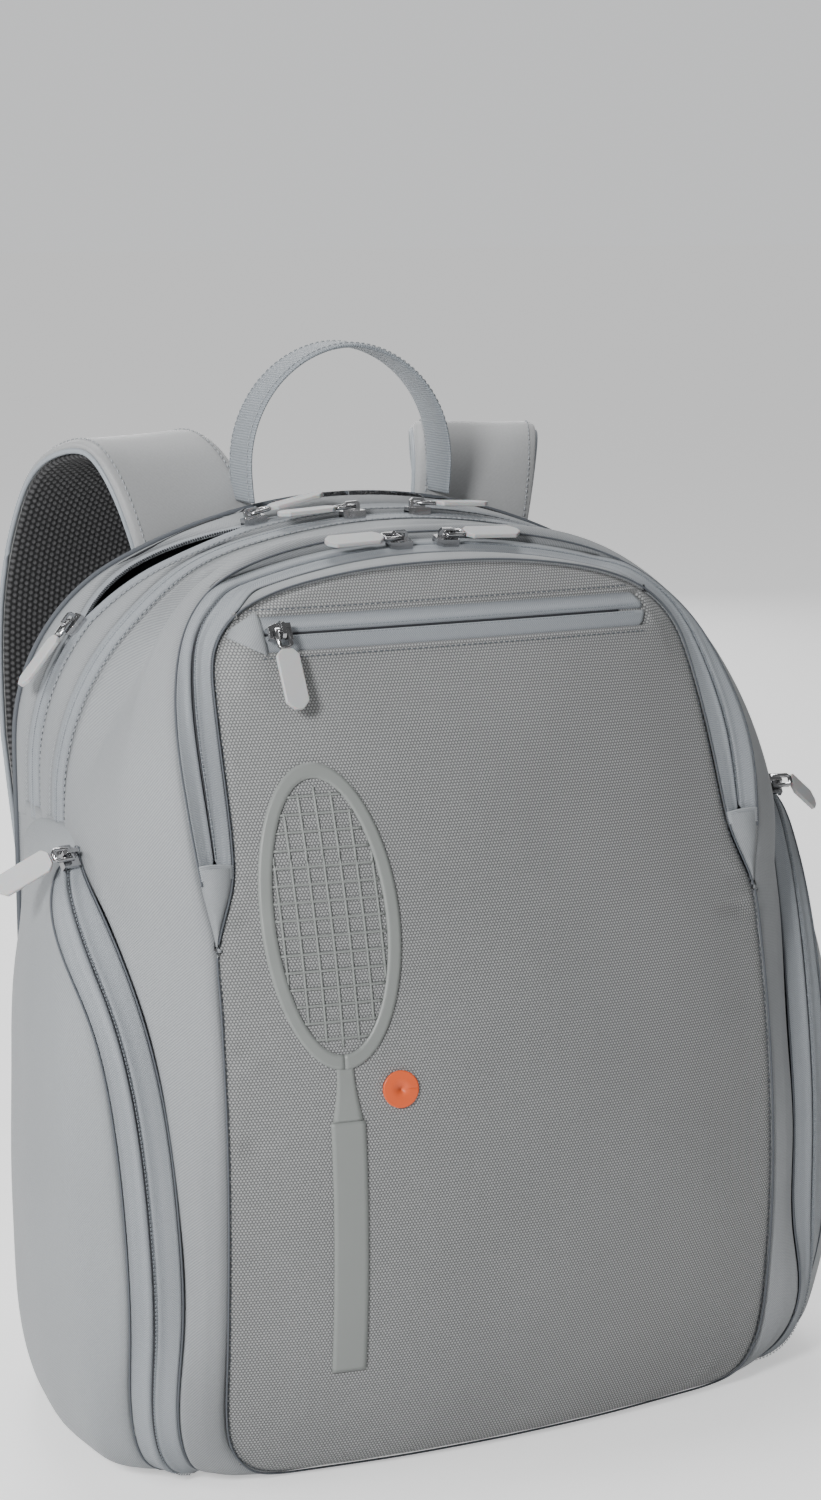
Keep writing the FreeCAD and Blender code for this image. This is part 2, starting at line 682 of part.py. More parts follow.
def pocket_form(sign, inset):
    """A pocket's volume: the arc of its zip, its plan and its rise, met together."""
    grow = evaluate(sheet, inset)
    frame = side_frame(sign)
    depth = 300.0
    front = cylinder(f"Sizes.side_zip_radius - Sizes.tape_thickness - ({inset})", "600",
                     frame * Placement(Vector(0, 0, -depth), Rotation()))
    plan_x = sign * (size("pocket_half") - size("pocket_plan_radius"))
    plan = cylinder(f"Sizes.pocket_plan_radius - ({inset})", "600",
                    Placement(Vector(plan_x, size("pocket_plan_y"), -100), Rotation()))
    rise_x = sign * (size("pocket_half") - size("pocket_rise_radius"))
    rise = cylinder(f"Sizes.pocket_rise_radius - ({inset})", "600",
                    Placement(Vector(rise_x, depth, size("pocket_rise_z")),
                              Rotation(Vector(1, 0, 0), 90)))
    x_low, x_high = sorted((sign * 140.0, sign * 240.0))
    extent = box((x_low, -100, f"Sizes.pocket_base + {grow}"),
                 (x_high, f"Sizes.pocket_rear_y - {grow}", f"Sizes.pocket_top - {grow}"))
    return common(common(common(extent, front), plan), rise)


for side, sign in SIDES:
    whole = form(cut(pocket_form(sign, "0"), outer), f"side_pocket_whole_{side}")
    hollow = form(pocket_form(sign, "Sizes.wall"), f"side_pocket_hollow_{side}")
    node(cut(whole, hollow), f"side_pocket_{side}")


# ---------------------------------------------------------------- sliders, rings and pulls

def slider(label, place, across=False):
    """Plate with a channel over the coil and a bridge for the ring."""
    body = new_body(label)
    plate_outline = new_sketch(body, "plate", "XY_Plane", "Sizes.gap")
    nose = "Sizes.slider_length / 2"
    wide = "Sizes.slider_width / 2"
    narrow = "Sizes.slider_width / 3"
    polygon(plate_outline, [(f"-{nose}", f"-{narrow}"), ("-2", f"-{wide}"), (nose, f"-{wide}"),
                            (nose, wide), ("-2", wide), (f"-{nose}", narrow)])
    pad(body, plate_outline, "Sizes.slider_top - Sizes.gap", name="body")
    channel = new_sketch(body, "channel", "YZ_Plane")
    clear = "(Sizes.coil_width / 2 + Sizes.gap)"
    roof = "(Sizes.coil_height + Sizes.gap)"
    polygon(channel, [(f"-{clear}", "0"), (clear, "0"), (clear, roof), (f"-{clear}", roof)])
    pocket(body, channel, "2 * Sizes.slider_length", symmetric=True, name="coil_channel")
    bridge = new_sketch(body, "bridge", "YZ_Plane" if across else "XZ_Plane")
    far = "Sizes.bridge_length / 2"
    eye = "(Sizes.bridge_length / 2 - 2)"
    polygon(bridge, [(f"-{far}", "Sizes.slider_top - 0.5"), (far, "Sizes.slider_top - 0.5"),
                     (far, "Sizes.bridge_top - 1.5"), ("Sizes.bridge_length / 3", "Sizes.bridge_top"),
                     ("-Sizes.bridge_length / 3", "Sizes.bridge_top"), (f"-{far}", "Sizes.bridge_top - 1.5")])
    pad(body, bridge, "Sizes.bridge_width", symmetric=True, name="bridge_bar")
    hole = new_sketch(body, "bridge_eye", "YZ_Plane" if across else "XZ_Plane")
    low = "(Sizes.pivot_height - 1.5)"
    high = "(Sizes.pivot_height + 1.5)"
    polygon(hole, [(f"-{eye}", low), (eye, low), (eye, high), (f"-{eye}", high)])
    pocket(body, hole, "2 * Sizes.bridge_width", symmetric=True, name="ring_eye")
    body.Placement = place
    return node(body, label)


def ring(label, place):
    """A flat wire link: its near bar lies in the bridge, at the local origin."""
    body = new_body(label)
    link = new_sketch(body, "link", "XY_Plane")
    bar = "Sizes.wire / 2"
    end = "(Sizes.ring_length - Sizes.wire / 2)"
    wide = "Sizes.ring_width / 2"
    polygon(link, [(f"-{bar}", f"-{wide}"), (f"{end} - 2", f"-{wide}"), (end, f"2 - {wide}"),
                   (end, f"{wide} - 2"), (f"{end} - 2", wide), (f"-{bar}", wide)])
    pad(body, link, "Sizes.wire", symmetric=True, name="wire")
    opening = new_sketch(body, "opening", "XY_Plane")
    inner_end = f"({end} - Sizes.wire)"
    inner_wide = f"({wide} - Sizes.wire)"
    polygon(opening, [(bar, f"-{inner_wide}"), (inner_end, f"-{inner_wide}"),
                      (inner_end, inner_wide), (bar, inner_wide)])
    pocket(body, opening, "2 * Sizes.wire", symmetric=True, name="opening_cut")
    body.Placement = place
    return node(body, label)


def pull(label, place):
    """A soft tab that starts where the ring ends."""
    body = new_body(label)
    outline = new_sketch(body, "outline", "XY_Plane")
    start = "(Sizes.ring_length - Sizes.wire / 2)"
    end = f"({start} + Sizes.pull_length)"
    wide = "Sizes.pull_width / 2"
    polygon(outline, [(start, f"3 - {wide}"), (f"{start} + 3", f"-{wide}"), (f"{end} - 4", f"-{wide}"),
                      (end, f"4 - {wide}"), (end, f"{wide} - 4"), (f"{end} - 4", wide),
                      (f"{start} + 3", wide), (start, f"{wide} - 3")])
    pad(body, outline, "Sizes.pull_thickness", symmetric=True, name="tab")
    body.Placement = place
    return node(body, label)


def fastener(name, place, heading):
    """A slider with its ring and pull lying along a heading from the track."""
    side_on = abs(cos(radians(heading))) < 0.5
    slider(f"{name}_slider", place, side_on)
    pivot = place * Placement(Vector(0, 0, size("pivot_height")), Rotation(Vector(0, 0, 1), heading))
    ring(f"{name}_ring", pivot)
    pull(f"{name}_pull", pivot)


def hanging_fastener(name, place, sign):
    """A slider whose ring points out sideways, with the pull hanging from the ring's far bar."""
    slider(f"{name}_slider", place, True)
    pivot = place * Placement(Vector(0, 0, size("pivot_height")), Rotation(Vector(0, 0, 1), sign * 90))
    ring(f"{name}_ring", pivot)
    droop = radians(size("side_pull_droop"))
    hang = place.Rotation.multVec(Vector(0, sign * cos(droop), -sin(droop)))
    swing = place.Rotation.multVec(Vector(1, 0, 0))
    hook = pivot.multVec(Vector(size("ring_length") - size("wire"), 0, 0))
    turn = Rotation(hang, swing, hang.cross(swing), "XYZ")
    clear_of_bar = 2.0
    back = turn.multVec(Vector(size("ring_length") - size("wire") / 2 - clear_of_bar, 0, 0))
    pull(f"{name}_pull", Placement(hook - back, turn))


def side_place(sign):
    """Where a side pocket's slider rests, near the top of its arc."""
    turn = Rotation(Vector(0, 0, 1), 3.5 - size("side_zip_high"))
    spot = turn.multVec(Vector(size("side_zip_radius"), 0, 0))
    stand = Rotation(Vector(0, 1, 0), Vector(0, 0, 1), Vector(1, 0, 0), "ZXY")
    return side_frame(sign) * Placement(spot, turn * stand)


PAIR_ANGLE = 3.1
FRONT_PAIR_ANGLE = 2.1
fastener("racket_left", racket_path.on_shoulder(-50), 180)
fastener("racket_right", racket_path.on_crown(-11.6), 0)
fastener("main_left", main_path.on_crown(-PAIR_ANGLE), 180)
fastener("main_right", main_path.on_crown(PAIR_ANGLE), 0)
fastener("front_left", front_path.on_crown(-FRONT_PAIR_ANGLE), 180)
fastener("front_right", front_path.on_crown(FRONT_PAIR_ANGLE), 0)
start = straight.Placement * Placement(Vector(9 - size("pocket_zip_half"), 0, 0), Rotation())
fastener("front_pocket", start, -90)
for side, sign in SIDES:
    hanging_fastener(f"side_{side}", side_place(sign), sign)


# ---------------------------------------------------------------- handle and shoulder straps

def ribbon(label, route, thickness, lift=0.0, steps=14):
    """A flat band along a smooth route.

    Each stop of the route is a point, half the band's width there, and the direction
    that the width runs in.  Lift moves the band along its own normal.
    """
    line = Part.BSplineCurve()
    line.interpolate([Vector(*point) for point, _, _ in route])
    stops = [line.parameter(Vector(*point)) for point, _, _ in route]

    def between(values, t):
        last = len(stops) - 2
        i = min(max(k for k in range(last + 1) if stops[k] <= t + 1e-9), last)
        f = min(1.0, (t - stops[i]) / (stops[i + 1] - stops[i]))
        return values[i] * (1 - f) + values[i + 1] * f

    halves = [half for _, half, _ in route]
    runs = [Vector(*run).normalize() for _, _, run in route]
    wires = []
    for k in range(steps + 1):
        t = stops[0] + (stops[-1] - stops[0]) * k / steps
        along_line = line.tangent(t)[0]
        run = between(runs, t)
        run = (run - along_line * run.dot(along_line)).normalize()
        normal = along_line.cross(run).normalize()
        middle = line.value(t) + normal * lift
        half = between(halves, t)
        corners = [middle + run * (a * half) + normal * (b * thickness / 2)
                   for a, b in ((-1, -1), (1, -1), (1, 1), (-1, 1))]
        wires.append(Part.makePolygon(corners + corners[:1]))
    band = doc.addObject("Part::Feature", label)
    solid = Part.makeLoft(wires, True, True)
    if solid.Volume < 0:
        solid = Part.makeLoft(wires[::-1], True, True)
    band.Shape = solid
    return node(band, label)


ACROSS = (1, 0, 0)
HANDLE_Y = size("rear_y") + size("back_thickness") / 2 - 2
HANDLE_FOOT = 57.0
HANDLE_BASE = 463.6
half_handle = size("handle_width") / 2
ribbon("grab_handle", [
    ((-HANDLE_FOOT, HANDLE_Y, HANDLE_BASE), half_handle, ACROSS),
    ((-HANDLE_FOOT - 1, HANDLE_Y, HANDLE_BASE + 26), half_handle, (1, 0.5, 0)),
    ((-45, HANDLE_Y, HANDLE_BASE + 58), half_handle, (0.6, 1, 0)),
    ((-22, HANDLE_Y, HANDLE_BASE + 76), half_handle, (0.2, 1, 0)),
    ((0, HANDLE_Y, HANDLE_BASE + 81), half_handle, (0, 1, 0)),
    ((22, HANDLE_Y, HANDLE_BASE + 76), half_handle, (-0.2, 1, 0)),
    ((45, HANDLE_Y, HANDLE_BASE + 58), half_handle, (-0.6, 1, 0)),
    ((HANDLE_FOOT + 1, HANDLE_Y, HANDLE_BASE + 26), half_handle, (-1, 0.5, 0)),
    ((HANDLE_FOOT, HANDLE_Y, HANDLE_BASE), half_handle, (-1, 0.01, 0)),
], size("handle_thickness"), steps=24)

half_strap = size("strap_width") / 2
half_webbing = size("webbing_width") / 2
STRAP_FROM = size("rear_y") + size("back_thickness") + 8
LOWER_ANCHOR_Z = 62.0
for side, sign in SIDES:
    def stop(x, y, z, half, run=ACROSS):
        return ((sign * x, y, z), half, (run[0], sign * run[1], sign * run[2]))

    route = [
        stop(80, STRAP_FROM, 440, half_strap),
        stop(92, STRAP_FROM + 3, 470, half_strap),
        stop(108, 148, 492, half_strap),
        stop(126, 174, 484, half_strap, (1, 0.1, -0.2)),
        stop(142, 194, 452, half_strap, (1, 0.1, -0.35)),
        stop(153, 206, 400, half_strap, (1, 0.1, -0.3)),
        stop(160, 208, 330, half_strap, (1, 0, -0.15)),
        stop(162, 198, 260, half_strap * 0.86),
        stop(160, 180, 200, half_strap * 0.6),
    ]
    lift = (size("strap_thickness") + size("mesh_thickness")) / 2
    ribbon(f"strap_foam_{side}", route, size("strap_thickness"), steps=20)
    ribbon(f"strap_mesh_{side}", route, size("mesh_thickness"), lift=lift, steps=20)
    ribbon(f"strap_webbing_{side}", [
        stop(159.5, 164, 168, half_webbing),
        stop(157, 152, 140, half_webbing),
        stop(154, 135, 100, half_webbing),
        stop(151, size("rear_y") + size("back_thickness") + 2.5, LOWER_ANCHOR_Z, half_webbing),
    ], size("webbing_thickness"), steps=6)

for side, sign in SIDES:
    frame_body = new_body(f"strap_adjuster_{side}")
    outline = new_sketch(frame_body, "outline", "XY_Plane")
    wide = "Sizes.adjuster_width / 2"
    tall = "Sizes.adjuster_height / 2"
    polygon(outline, [(f"-{wide}", f"-{tall}"), (wide, f"-{tall}"), (wide, tall), (f"-{wide}", tall)])
    pad(frame_body, outline, "Sizes.adjuster_thickness", symmetric=True, name="frame")
    windows = new_sketch(frame_body, "windows", "XY_Plane")
    slot_half = "Sizes.webbing_width / 2 + 1"
    for low, high in (("-9", "-2"), ("2", "9")):
        first = len(windows.Geometry)
        corners = [(f"-({slot_half})", low), (slot_half, low), (slot_half, high), (f"-({slot_half})", high)]
        flat = [Vector(evaluate(windows, a), evaluate(windows, b), 0) for a, b in corners]
        windows.addGeometry([Part.LineSegment(flat[k], flat[(k + 1) % 4]) for k in range(4)])
        windows.addConstraint([Sketcher.Constraint("Coincident", first + k, 2, first + (k + 1) % 4, 1)
                               for k in range(4)])
    pocket(frame_body, windows, "2 * Sizes.adjuster_thickness", symmetric=True, name="window_cut")
    tilt = Rotation(Vector(1, 0, 0), 65)
    frame_body.Placement = Placement(Vector(sign * 160, 171.5, 184), tilt)
    node(frame_body, f"strap_adjuster_{side}")


# ---------------------------------------------------------------- raised emblem

skin = cut(bag_form("emblem_skin_form", "-Sizes.emblem_raise"), outer)


def upright(label, build):
    """An emblem outline drawn on the XZ plane and pushed through the front face."""
    body = new_body(label)
    outline = new_sketch(body, "outline", "XZ_Plane")
    build(outline)
    pad(body, outline, "-2 * Sizes.front_y")
    return form(body, label)


def oval(sketch, x, z, half_width, half_height):
    """An ellipse with its long axis upright."""
    a, b = evaluate(sketch, half_height), evaluate(sketch, half_width)
    centre = Vector(evaluate(sketch, x), evaluate(sketch, z), 0)
    sketch.addGeometry(Part.Ellipse(centre + Vector(0, a, 0), centre + Vector(b, 0, 0), centre))


def head(sketch):
    oval(sketch, "Sizes.emblem_x", "Sizes.emblem_head_z", "Sizes.emblem_head_width / 2",
         "Sizes.emblem_head_height / 2")


def head_window(sketch):
    oval(sketch, "Sizes.emblem_x", "Sizes.emblem_head_z",
         "Sizes.emblem_head_width / 2 - Sizes.emblem_rim",
         "Sizes.emblem_head_height / 2 - Sizes.emblem_rim")


def shaft(sketch):
    half = "Sizes.emblem_shaft / 2"
    top = "(Sizes.emblem_head_z - Sizes.emblem_head_height / 2 + 4)"
    polygon(sketch, [(f"Sizes.emblem_x - {half}", "Sizes.emblem_foot_z"),
                     (f"Sizes.emblem_x + {half}", "Sizes.emblem_foot_z"),
                     (f"Sizes.emblem_x + {half}", f"{top} - 30"),
                     (f"Sizes.emblem_x + {half} / 2", top),
                     (f"Sizes.emblem_x - {half} / 2", top),
                     (f"Sizes.emblem_x - {half}", f"{top} - 30")])


def ball(sketch):
    oval(sketch, "Sizes.emblem_x + 27", "Sizes.emblem_head_z - Sizes.emblem_head_height / 2 - 12",
         "Sizes.ball_radius", "Sizes.ball_radius + 0.01")


rim = form(cut(upright("emblem_head", head), upright("emblem_window", head_window)), "emblem_rim")
mark = fuse(rim, upright("emblem_shaft", shaft))
node(common(skin, mark), "raised_emblem")
node(common(skin, upright("ball_outline", ball)), "emblem_ball")
form(skin, "emblem_skin")


# ---------------------------------------------------------------- checks and files

doc.recompute()
for thing in doc.Objects:
    if "Invalid" in thing.State or "Error" in thing.State:
        raise RuntimeError(f"{thing.Label} did not build: {thing.State}")
for thing in NODES:
    if thing.Shape.isNull() or not thing.Shape.isValid() or not thing.Shape.Solids:
        raise RuntimeError(f"{thing.Label} has no sound solid")

os.makedirs("parts", exist_ok=True)
for thing in NODES:
    thing.Shape.exportStep(f"parts/{thing.Label}.step")
print(f"{len(NODES)} pieces")
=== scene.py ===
import math

import bmesh
import bpy
import numpy as np
from mathutils import Matrix, Vector


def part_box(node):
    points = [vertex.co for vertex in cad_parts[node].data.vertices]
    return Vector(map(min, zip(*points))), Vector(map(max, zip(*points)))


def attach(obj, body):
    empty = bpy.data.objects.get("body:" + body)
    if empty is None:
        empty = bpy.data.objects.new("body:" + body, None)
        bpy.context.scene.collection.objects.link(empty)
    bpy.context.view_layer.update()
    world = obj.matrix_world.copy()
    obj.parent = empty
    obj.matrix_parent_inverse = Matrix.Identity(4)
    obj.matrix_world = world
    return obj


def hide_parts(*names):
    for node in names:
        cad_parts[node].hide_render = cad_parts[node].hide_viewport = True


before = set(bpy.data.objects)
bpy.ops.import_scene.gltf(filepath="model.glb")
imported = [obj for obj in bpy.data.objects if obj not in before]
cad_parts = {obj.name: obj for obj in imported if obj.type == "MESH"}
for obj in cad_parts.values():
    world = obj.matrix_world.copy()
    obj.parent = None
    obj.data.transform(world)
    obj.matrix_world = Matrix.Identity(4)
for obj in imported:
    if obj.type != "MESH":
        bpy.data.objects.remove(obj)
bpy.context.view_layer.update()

MM = 0.001
CENTRE = np.array([0.0, 20.0, 210.0])  # a point inside the bag, which normals face away from


# ---------------------------------------------------------------- curves
def spline(knots, values):
    """Natural cubic spline; returns a function of the knot parameter."""
    x, y = np.asarray(knots, float), np.asarray(values, float)
    n, h = len(x), np.diff(x)
    a, r = np.eye(n), np.zeros_like(y)
    for i in range(1, n - 1):
        a[i, i - 1:i + 2] = h[i - 1], 2 * (h[i - 1] + h[i]), h[i]
        r[i] = 6 * ((y[i + 1] - y[i]) / h[i] - (y[i] - y[i - 1]) / h[i - 1])
    m = np.linalg.solve(a, r)

    def at(t):
        t = np.clip(np.asarray(t, float), x[0], x[-1])
        i = np.clip(np.searchsorted(x, t, side="right") - 1, 0, n - 2)
        hh = h[i][..., None]
        d0, d1 = (x[i + 1] - t)[..., None], (t - x[i])[..., None]
        return ((m[i] * d0 ** 3 + m[i + 1] * d1 ** 3) / (6 * hh)
                + (y[i] / hh - m[i] * hh / 6) * d0 + (y[i + 1] / hh - m[i + 1] * hh / 6) * d1)
    return at


def lengths(points):
    """Distance run along a line of points."""
    return np.r_[0, np.cumsum(np.linalg.norm(np.diff(points, axis=0), axis=1))]


def ease(t):
    t = np.clip(t, 0, 1)
    return t * t * (3 - 2 * t)


LOW_S, HIGH_S = 0.19, 0.54  # the share of a half rail that lies below z 28 and z 300


def rail(points):
    """A closed ring round the bag from one half of it, base centre to top centre.

    The ring's parameter runs from -1 at the base, up the left side, 0 at the top, to 1.
    """
    p = np.array(points, float)
    run = lengths(p)
    marks = [0, np.interp(28, p[:, 2], run), np.interp(300, p[:, 2], run), run[-1]]
    s = np.interp(run, marks, [0, LOW_S, HIGH_S, 1])
    left = p * [-1, 1, 1]
    knots = np.r_[s - 1, (1 - s)[::-1][1:]]
    return spline(knots, np.vstack([left, p[::-1][1:]]))


def arch(y, half, shoulder_z, shoulder, crown, hem=26.0):
    """Half of a level section: flat base, upright side, shoulder and shallow crown."""
    reach = half - shoulder
    centre = shoulder_z - math.sqrt((crown - shoulder) ** 2 - reach ** 2)
    turn = math.asin(reach / (crown - shoulder))
    out = [(x, 0.0) for x in np.linspace(0, half - hem, 6)]
    out += [(half - hem + hem * math.sin(a), hem - hem * math.cos(a))
            for a in np.linspace(0, math.pi / 2, 7)[1:]]
    out += [(half, z) for z in np.linspace(hem, shoulder_z, 10)[1:]]
    out += [(reach + shoulder * math.cos(a), shoulder_z + shoulder * math.sin(a))
            for a in np.linspace(0, math.pi / 2 - turn, 14)[1:]]
    out += [(crown * math.sin(a), centre + crown * math.cos(a))
            for a in np.linspace(turn, 0, 8)[1:]]
    return [(x, y, z) for x, z in out]


MID = (21.0, 188.0, 318.0, 130.0, 470.0)
REAR = (104.0, 188.0, 345.0, 100.0, 304.0)


def level(y, crown=None):
    """The section at a depth between the main divider and the back."""
    f = (y - MID[0]) / (REAR[0] - MID[0])
    values = [a + (b - a) * f for a, b in zip(MID[1:], REAR[1:])]
    if crown:
        values[3] = crown
    return arch(y, *values)


FRONT_Y, FRONT_Z, FRONT_R, DOME_R = -108.0, 130.0, 578.0, 741.0
FRONT_HEM = 15.0


def dome(x, z):
    """Depth of the front face."""
    x, z = np.asarray(x, float), np.asarray(z, float)
    reach = FRONT_R - (DOME_R - np.sqrt(DOME_R ** 2 - x ** 2))
    face = FRONT_Y + FRONT_R - np.sqrt(reach ** 2 - (z - FRONT_Z) ** 2)
    low = np.clip((FRONT_HEM - z) / FRONT_HEM, 0, 0.97)
    return face + FRONT_HEM * (1 - np.sqrt(1 - low ** 2))


# Front seam, as (x, z) on the front face.
SEAM = [(0, 1.5), (60, 1.5), (108, 1.6), (127, 3.5), (140, 10), (148.5, 21), (152.3, 36), (153.3, 62),
        (153.3, 100), (152.8, 140), (151.8, 190), (151, 228), (150.4, 252), (149.4, 270), (144.8, 284),
        (139.8, 297), (137, 312), (135.8, 335), (134.8, 360), (133, 386), (128.5, 406), (117, 420),
        (96, 430.5), (68, 437), (34, 441), (0, 442)]
seam = rail([(x, float(dome(x, z)), z) for x, z in SEAM])
TIP = next(i for i, (x, z) in enumerate(SEAM) if z == 270)
shared = [(x, float(dome(x, z)), z) for x, z in SEAM[:TIP + 1]]
# Outer edge of the front zip's band, which leaves the front seam at the tip of its patch.
band_edge = rail(shared + [
    (152.6, -71.5, 290), (155.6, -66.5, 312), (157.2, -59.5, 336), (156.6, -49, 358), (153, -35, 380),
    (145.6, -20, 402), (133, -5, 420), (112, 8, 435), (80, 15.5, 445.6), (40, 20, 451.4), (0, 21, 453)])
# Front edge of the side pocket's tape, and on over the top.
pocket_edge = rail([
    (0, -40, 0), (118, -44, 0), (148, -56, 2.5), (164, -69, 11), (173.5, -78.5, 28), (173.6, -82, 84),
    (173.4, -80, 138), (175.4, -70, 192), (182, -50, 246), (190.5, -25, 286), (194, -9, 308),
    (190, -1, 324), (181.5, 4, 343), (171, 8, 362), (158, 12, 382), (139, 17, 405), (117, 21, 424),
    (88, 25, 440), (50, 29, 449.5), (0, 31, 454.6)])
rear_seam = rail(arch(*REAR))


def shifted(ring, offset):
    """The same ring moved by an offset that may depend on the parameter."""
    return lambda s: ring(s) + offset(np.asarray(s, float))


def along_y(amount):
    def offset(s):
        out = np.zeros(s.shape + (3,))
        out[..., 1] = amount(s) if callable(amount) else amount
        return out
    return offset


MAIN_Y, RACKET_Y, MAIN_CROWN, RACKET_CROWN = 54.0, 76.0, 344.0, 321.0
main_top, main_side = rail(level(MAIN_Y, MAIN_CROWN)), rail(level(40.0))


def main_line(s):
    """The main zip: level over the crown, drawn forward down the sides."""
    top, side = main_top(s), main_side(s)
    f = ease((np.abs(top[..., 0]) - 84) / 70)[..., None]
    return top * (1 - f) + side * f


racket_line = rail(level(RACKET_Y, RACKET_CROWN))
TAPE = 8.5
GAP = 0.3


def parameter(ring, point):
    """Where on a ring a point lies."""
    s = np.linspace(-1, 1, 4001)
    return s[np.argmin(np.linalg.norm(ring(s) - np.array(point), axis=1))]


def rot(axis, degrees_):
    return Matrix.Rotation(math.radians(degrees_), 4, axis)


def stand(base, centre, radius, angle, roll=0.0):
    """A slider's frame on an arc: X along the track, Z away from the bag."""
    spot = Vector(centre) + rot("Y", angle) @ Vector((0, 0, radius))
    return base @ Matrix.Translation(spot) @ rot("Y", angle) @ rot("X", roll)


class Arc:
    """Centres of a zip's crown and shoulder, as in the frame's zip paths."""

    def __init__(self, half, shoulder_z, shoulder, crown, base, roll=0.0):
        self.shoulder, self.crown, self.base, self.roll = shoulder, crown, base, roll
        self.reach, self.shoulder_z = half - shoulder, shoulder_z
        self.centre = shoulder_z - math.sqrt((crown - shoulder) ** 2 - self.reach ** 2)

    def on_crown(self, angle):
        return stand(self.base, (0, 0, self.centre), self.crown, angle, self.roll)

    def on_shoulder(self, angle):
        return stand(self.base, (-self.reach, 0, self.shoulder_z), self.shoulder, angle, self.roll)


def level_arc(y, crown):
    f = (y - MID[0]) / (REAR[0] - MID[0])
    half, shoulder_z, shoulder = (a + (b - a) * f for a, b in zip(MID[1:4], REAR[1:4]))
    return Arc(half, shoulder_z, shoulder, crown, Matrix.Translation((0, y, 0)))


racket_arc = level_arc(RACKET_Y, RACKET_CROWN)
ARC_Y, ARC_Z, ARC_TILT = -68, 271, 23.9  # plane of the front zip's arc
front_arc = Arc(163.0, 96.0, 85.0, 360.0, Matrix.Translation((0, ARC_Y, ARC_Z)) @ rot("X", -ARC_TILT), 40.0)
mouth_left = parameter(racket_line, racket_arc.on_shoulder(-46.5).translation)
mouth_right = parameter(racket_line, racket_arc.on_crown(-12.9).translation)


def mouth(s, width):
    """How far one edge of the open zip stands from its line."""
    t = np.clip((s - mouth_left) / (mouth_right - mouth_left), 0, 1)
    return width * np.sin(math.pi * t) ** 0.8


MOUTH_FRONT, MOUTH_REAR = 6.0, 15.5
ARC_HALF, ARC_FADE = 97, 28  # the front zip leaves its arc this far from the middle, over this width


def front_line(s):
    """Middle of the front zip: the frame's arc over the crown, then down inside its band."""
    s = np.asarray(s, float)
    inner, outer = seam(s), band_edge(s)
    low = inner * 0.4 + outer * 0.6
    x = np.clip(inner[..., 0] * 0.5 + outer[..., 0] * 0.5, -120, 120)
    angle = np.arcsin(x / front_arc.crown)
    plane = front_arc.centre + front_arc.crown * np.cos(angle)
    tilt = math.radians(ARC_TILT)
    top = np.stack([x, ARC_Y + plane * math.sin(tilt), ARC_Z + plane * math.cos(tilt)], -1)
    f = ease((np.abs(x) - ARC_HALF) / ARC_FADE)[..., None]
    return top * (1 - f) + low * f


def unit(v):
    return v / np.maximum(np.linalg.norm(v, axis=-1, keepdims=True), 1e-9)


def frames(line, s, out=None):
    """Along, across and outward directions of a line that lies on the bag."""
    p = line(s)
    along = unit(np.gradient(p, axis=0))
    away = out if out is not None else unit(p - CENTRE)
    away = unit(away - along * (away * along).sum(-1, keepdims=True))
    return p, along, np.cross(along, away), away


# ---------------------------------------------------------------- meshes
PIECES = {}


def make(name, verts, faces, body="bag", slot=None, mats=(), index=None, uvs=None, smooth=True,
         replaces=()):
    """A mesh object in millimetres that rides on a body."""
    mesh = bpy.data.meshes.new(name)
    mesh.from_pydata((np.asarray(verts, float) * MM).tolist(), [], [list(map(int, f)) for f in faces])
    mesh.update()
    for m in mats:
        mesh.materials.append(m)
    if index is not None:
        mesh.polygons.foreach_set("material_index", np.asarray(index, np.int32))
    if uvs is not None:
        layer = mesh.uv_layers.new(name="weave")
        loops = np.zeros(len(mesh.loops), np.int32)
        mesh.loops.foreach_get("vertex_index", loops)
        layer.data.foreach_set("uv", (np.asarray(uvs, float)[loops] * MM).astype(np.float32).ravel())
    mesh.polygons.foreach_set("use_smooth", [smooth] * len(mesh.polygons))
    piece = bpy.data.objects.new(name, mesh)
    bpy.context.scene.collection.objects.link(piece)
    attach(piece, body)
    if replaces:
        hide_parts(*replaces)
    PIECES[name] = piece
    return piece


def quads(rows, cols, start=0, flip=False):
    i, j = np.meshgrid(np.arange(rows - 1), np.arange(cols - 1), indexing="ij")
    a = start + i * cols + j
    q = np.stack([a, a + 1, a + cols + 1, a + cols], -1).reshape(-1, 4)
    return q[:, ::-1] if flip else q


def normals(grid, out=None):
    """Normals of a grid of points, facing out."""
    n = unit(np.cross(np.gradient(grid, axis=1), np.gradient(grid, axis=0)))
    side = (n * (grid - (CENTRE if out is None else out))).sum(-1)
    return n if np.median(side) > 0 else -n


def weave_uv(grid):
    """Coordinates in millimetres that follow the cloth."""
    rows, cols, _ = grid.shape
    mid = lengths(grid[rows // 2])
    v = np.concatenate([np.zeros((1, cols)),
                        np.cumsum(np.linalg.norm(np.diff(grid, axis=0), axis=2), axis=0)])
    return np.stack([np.broadcast_to(mid, (rows, cols)), v], -1)


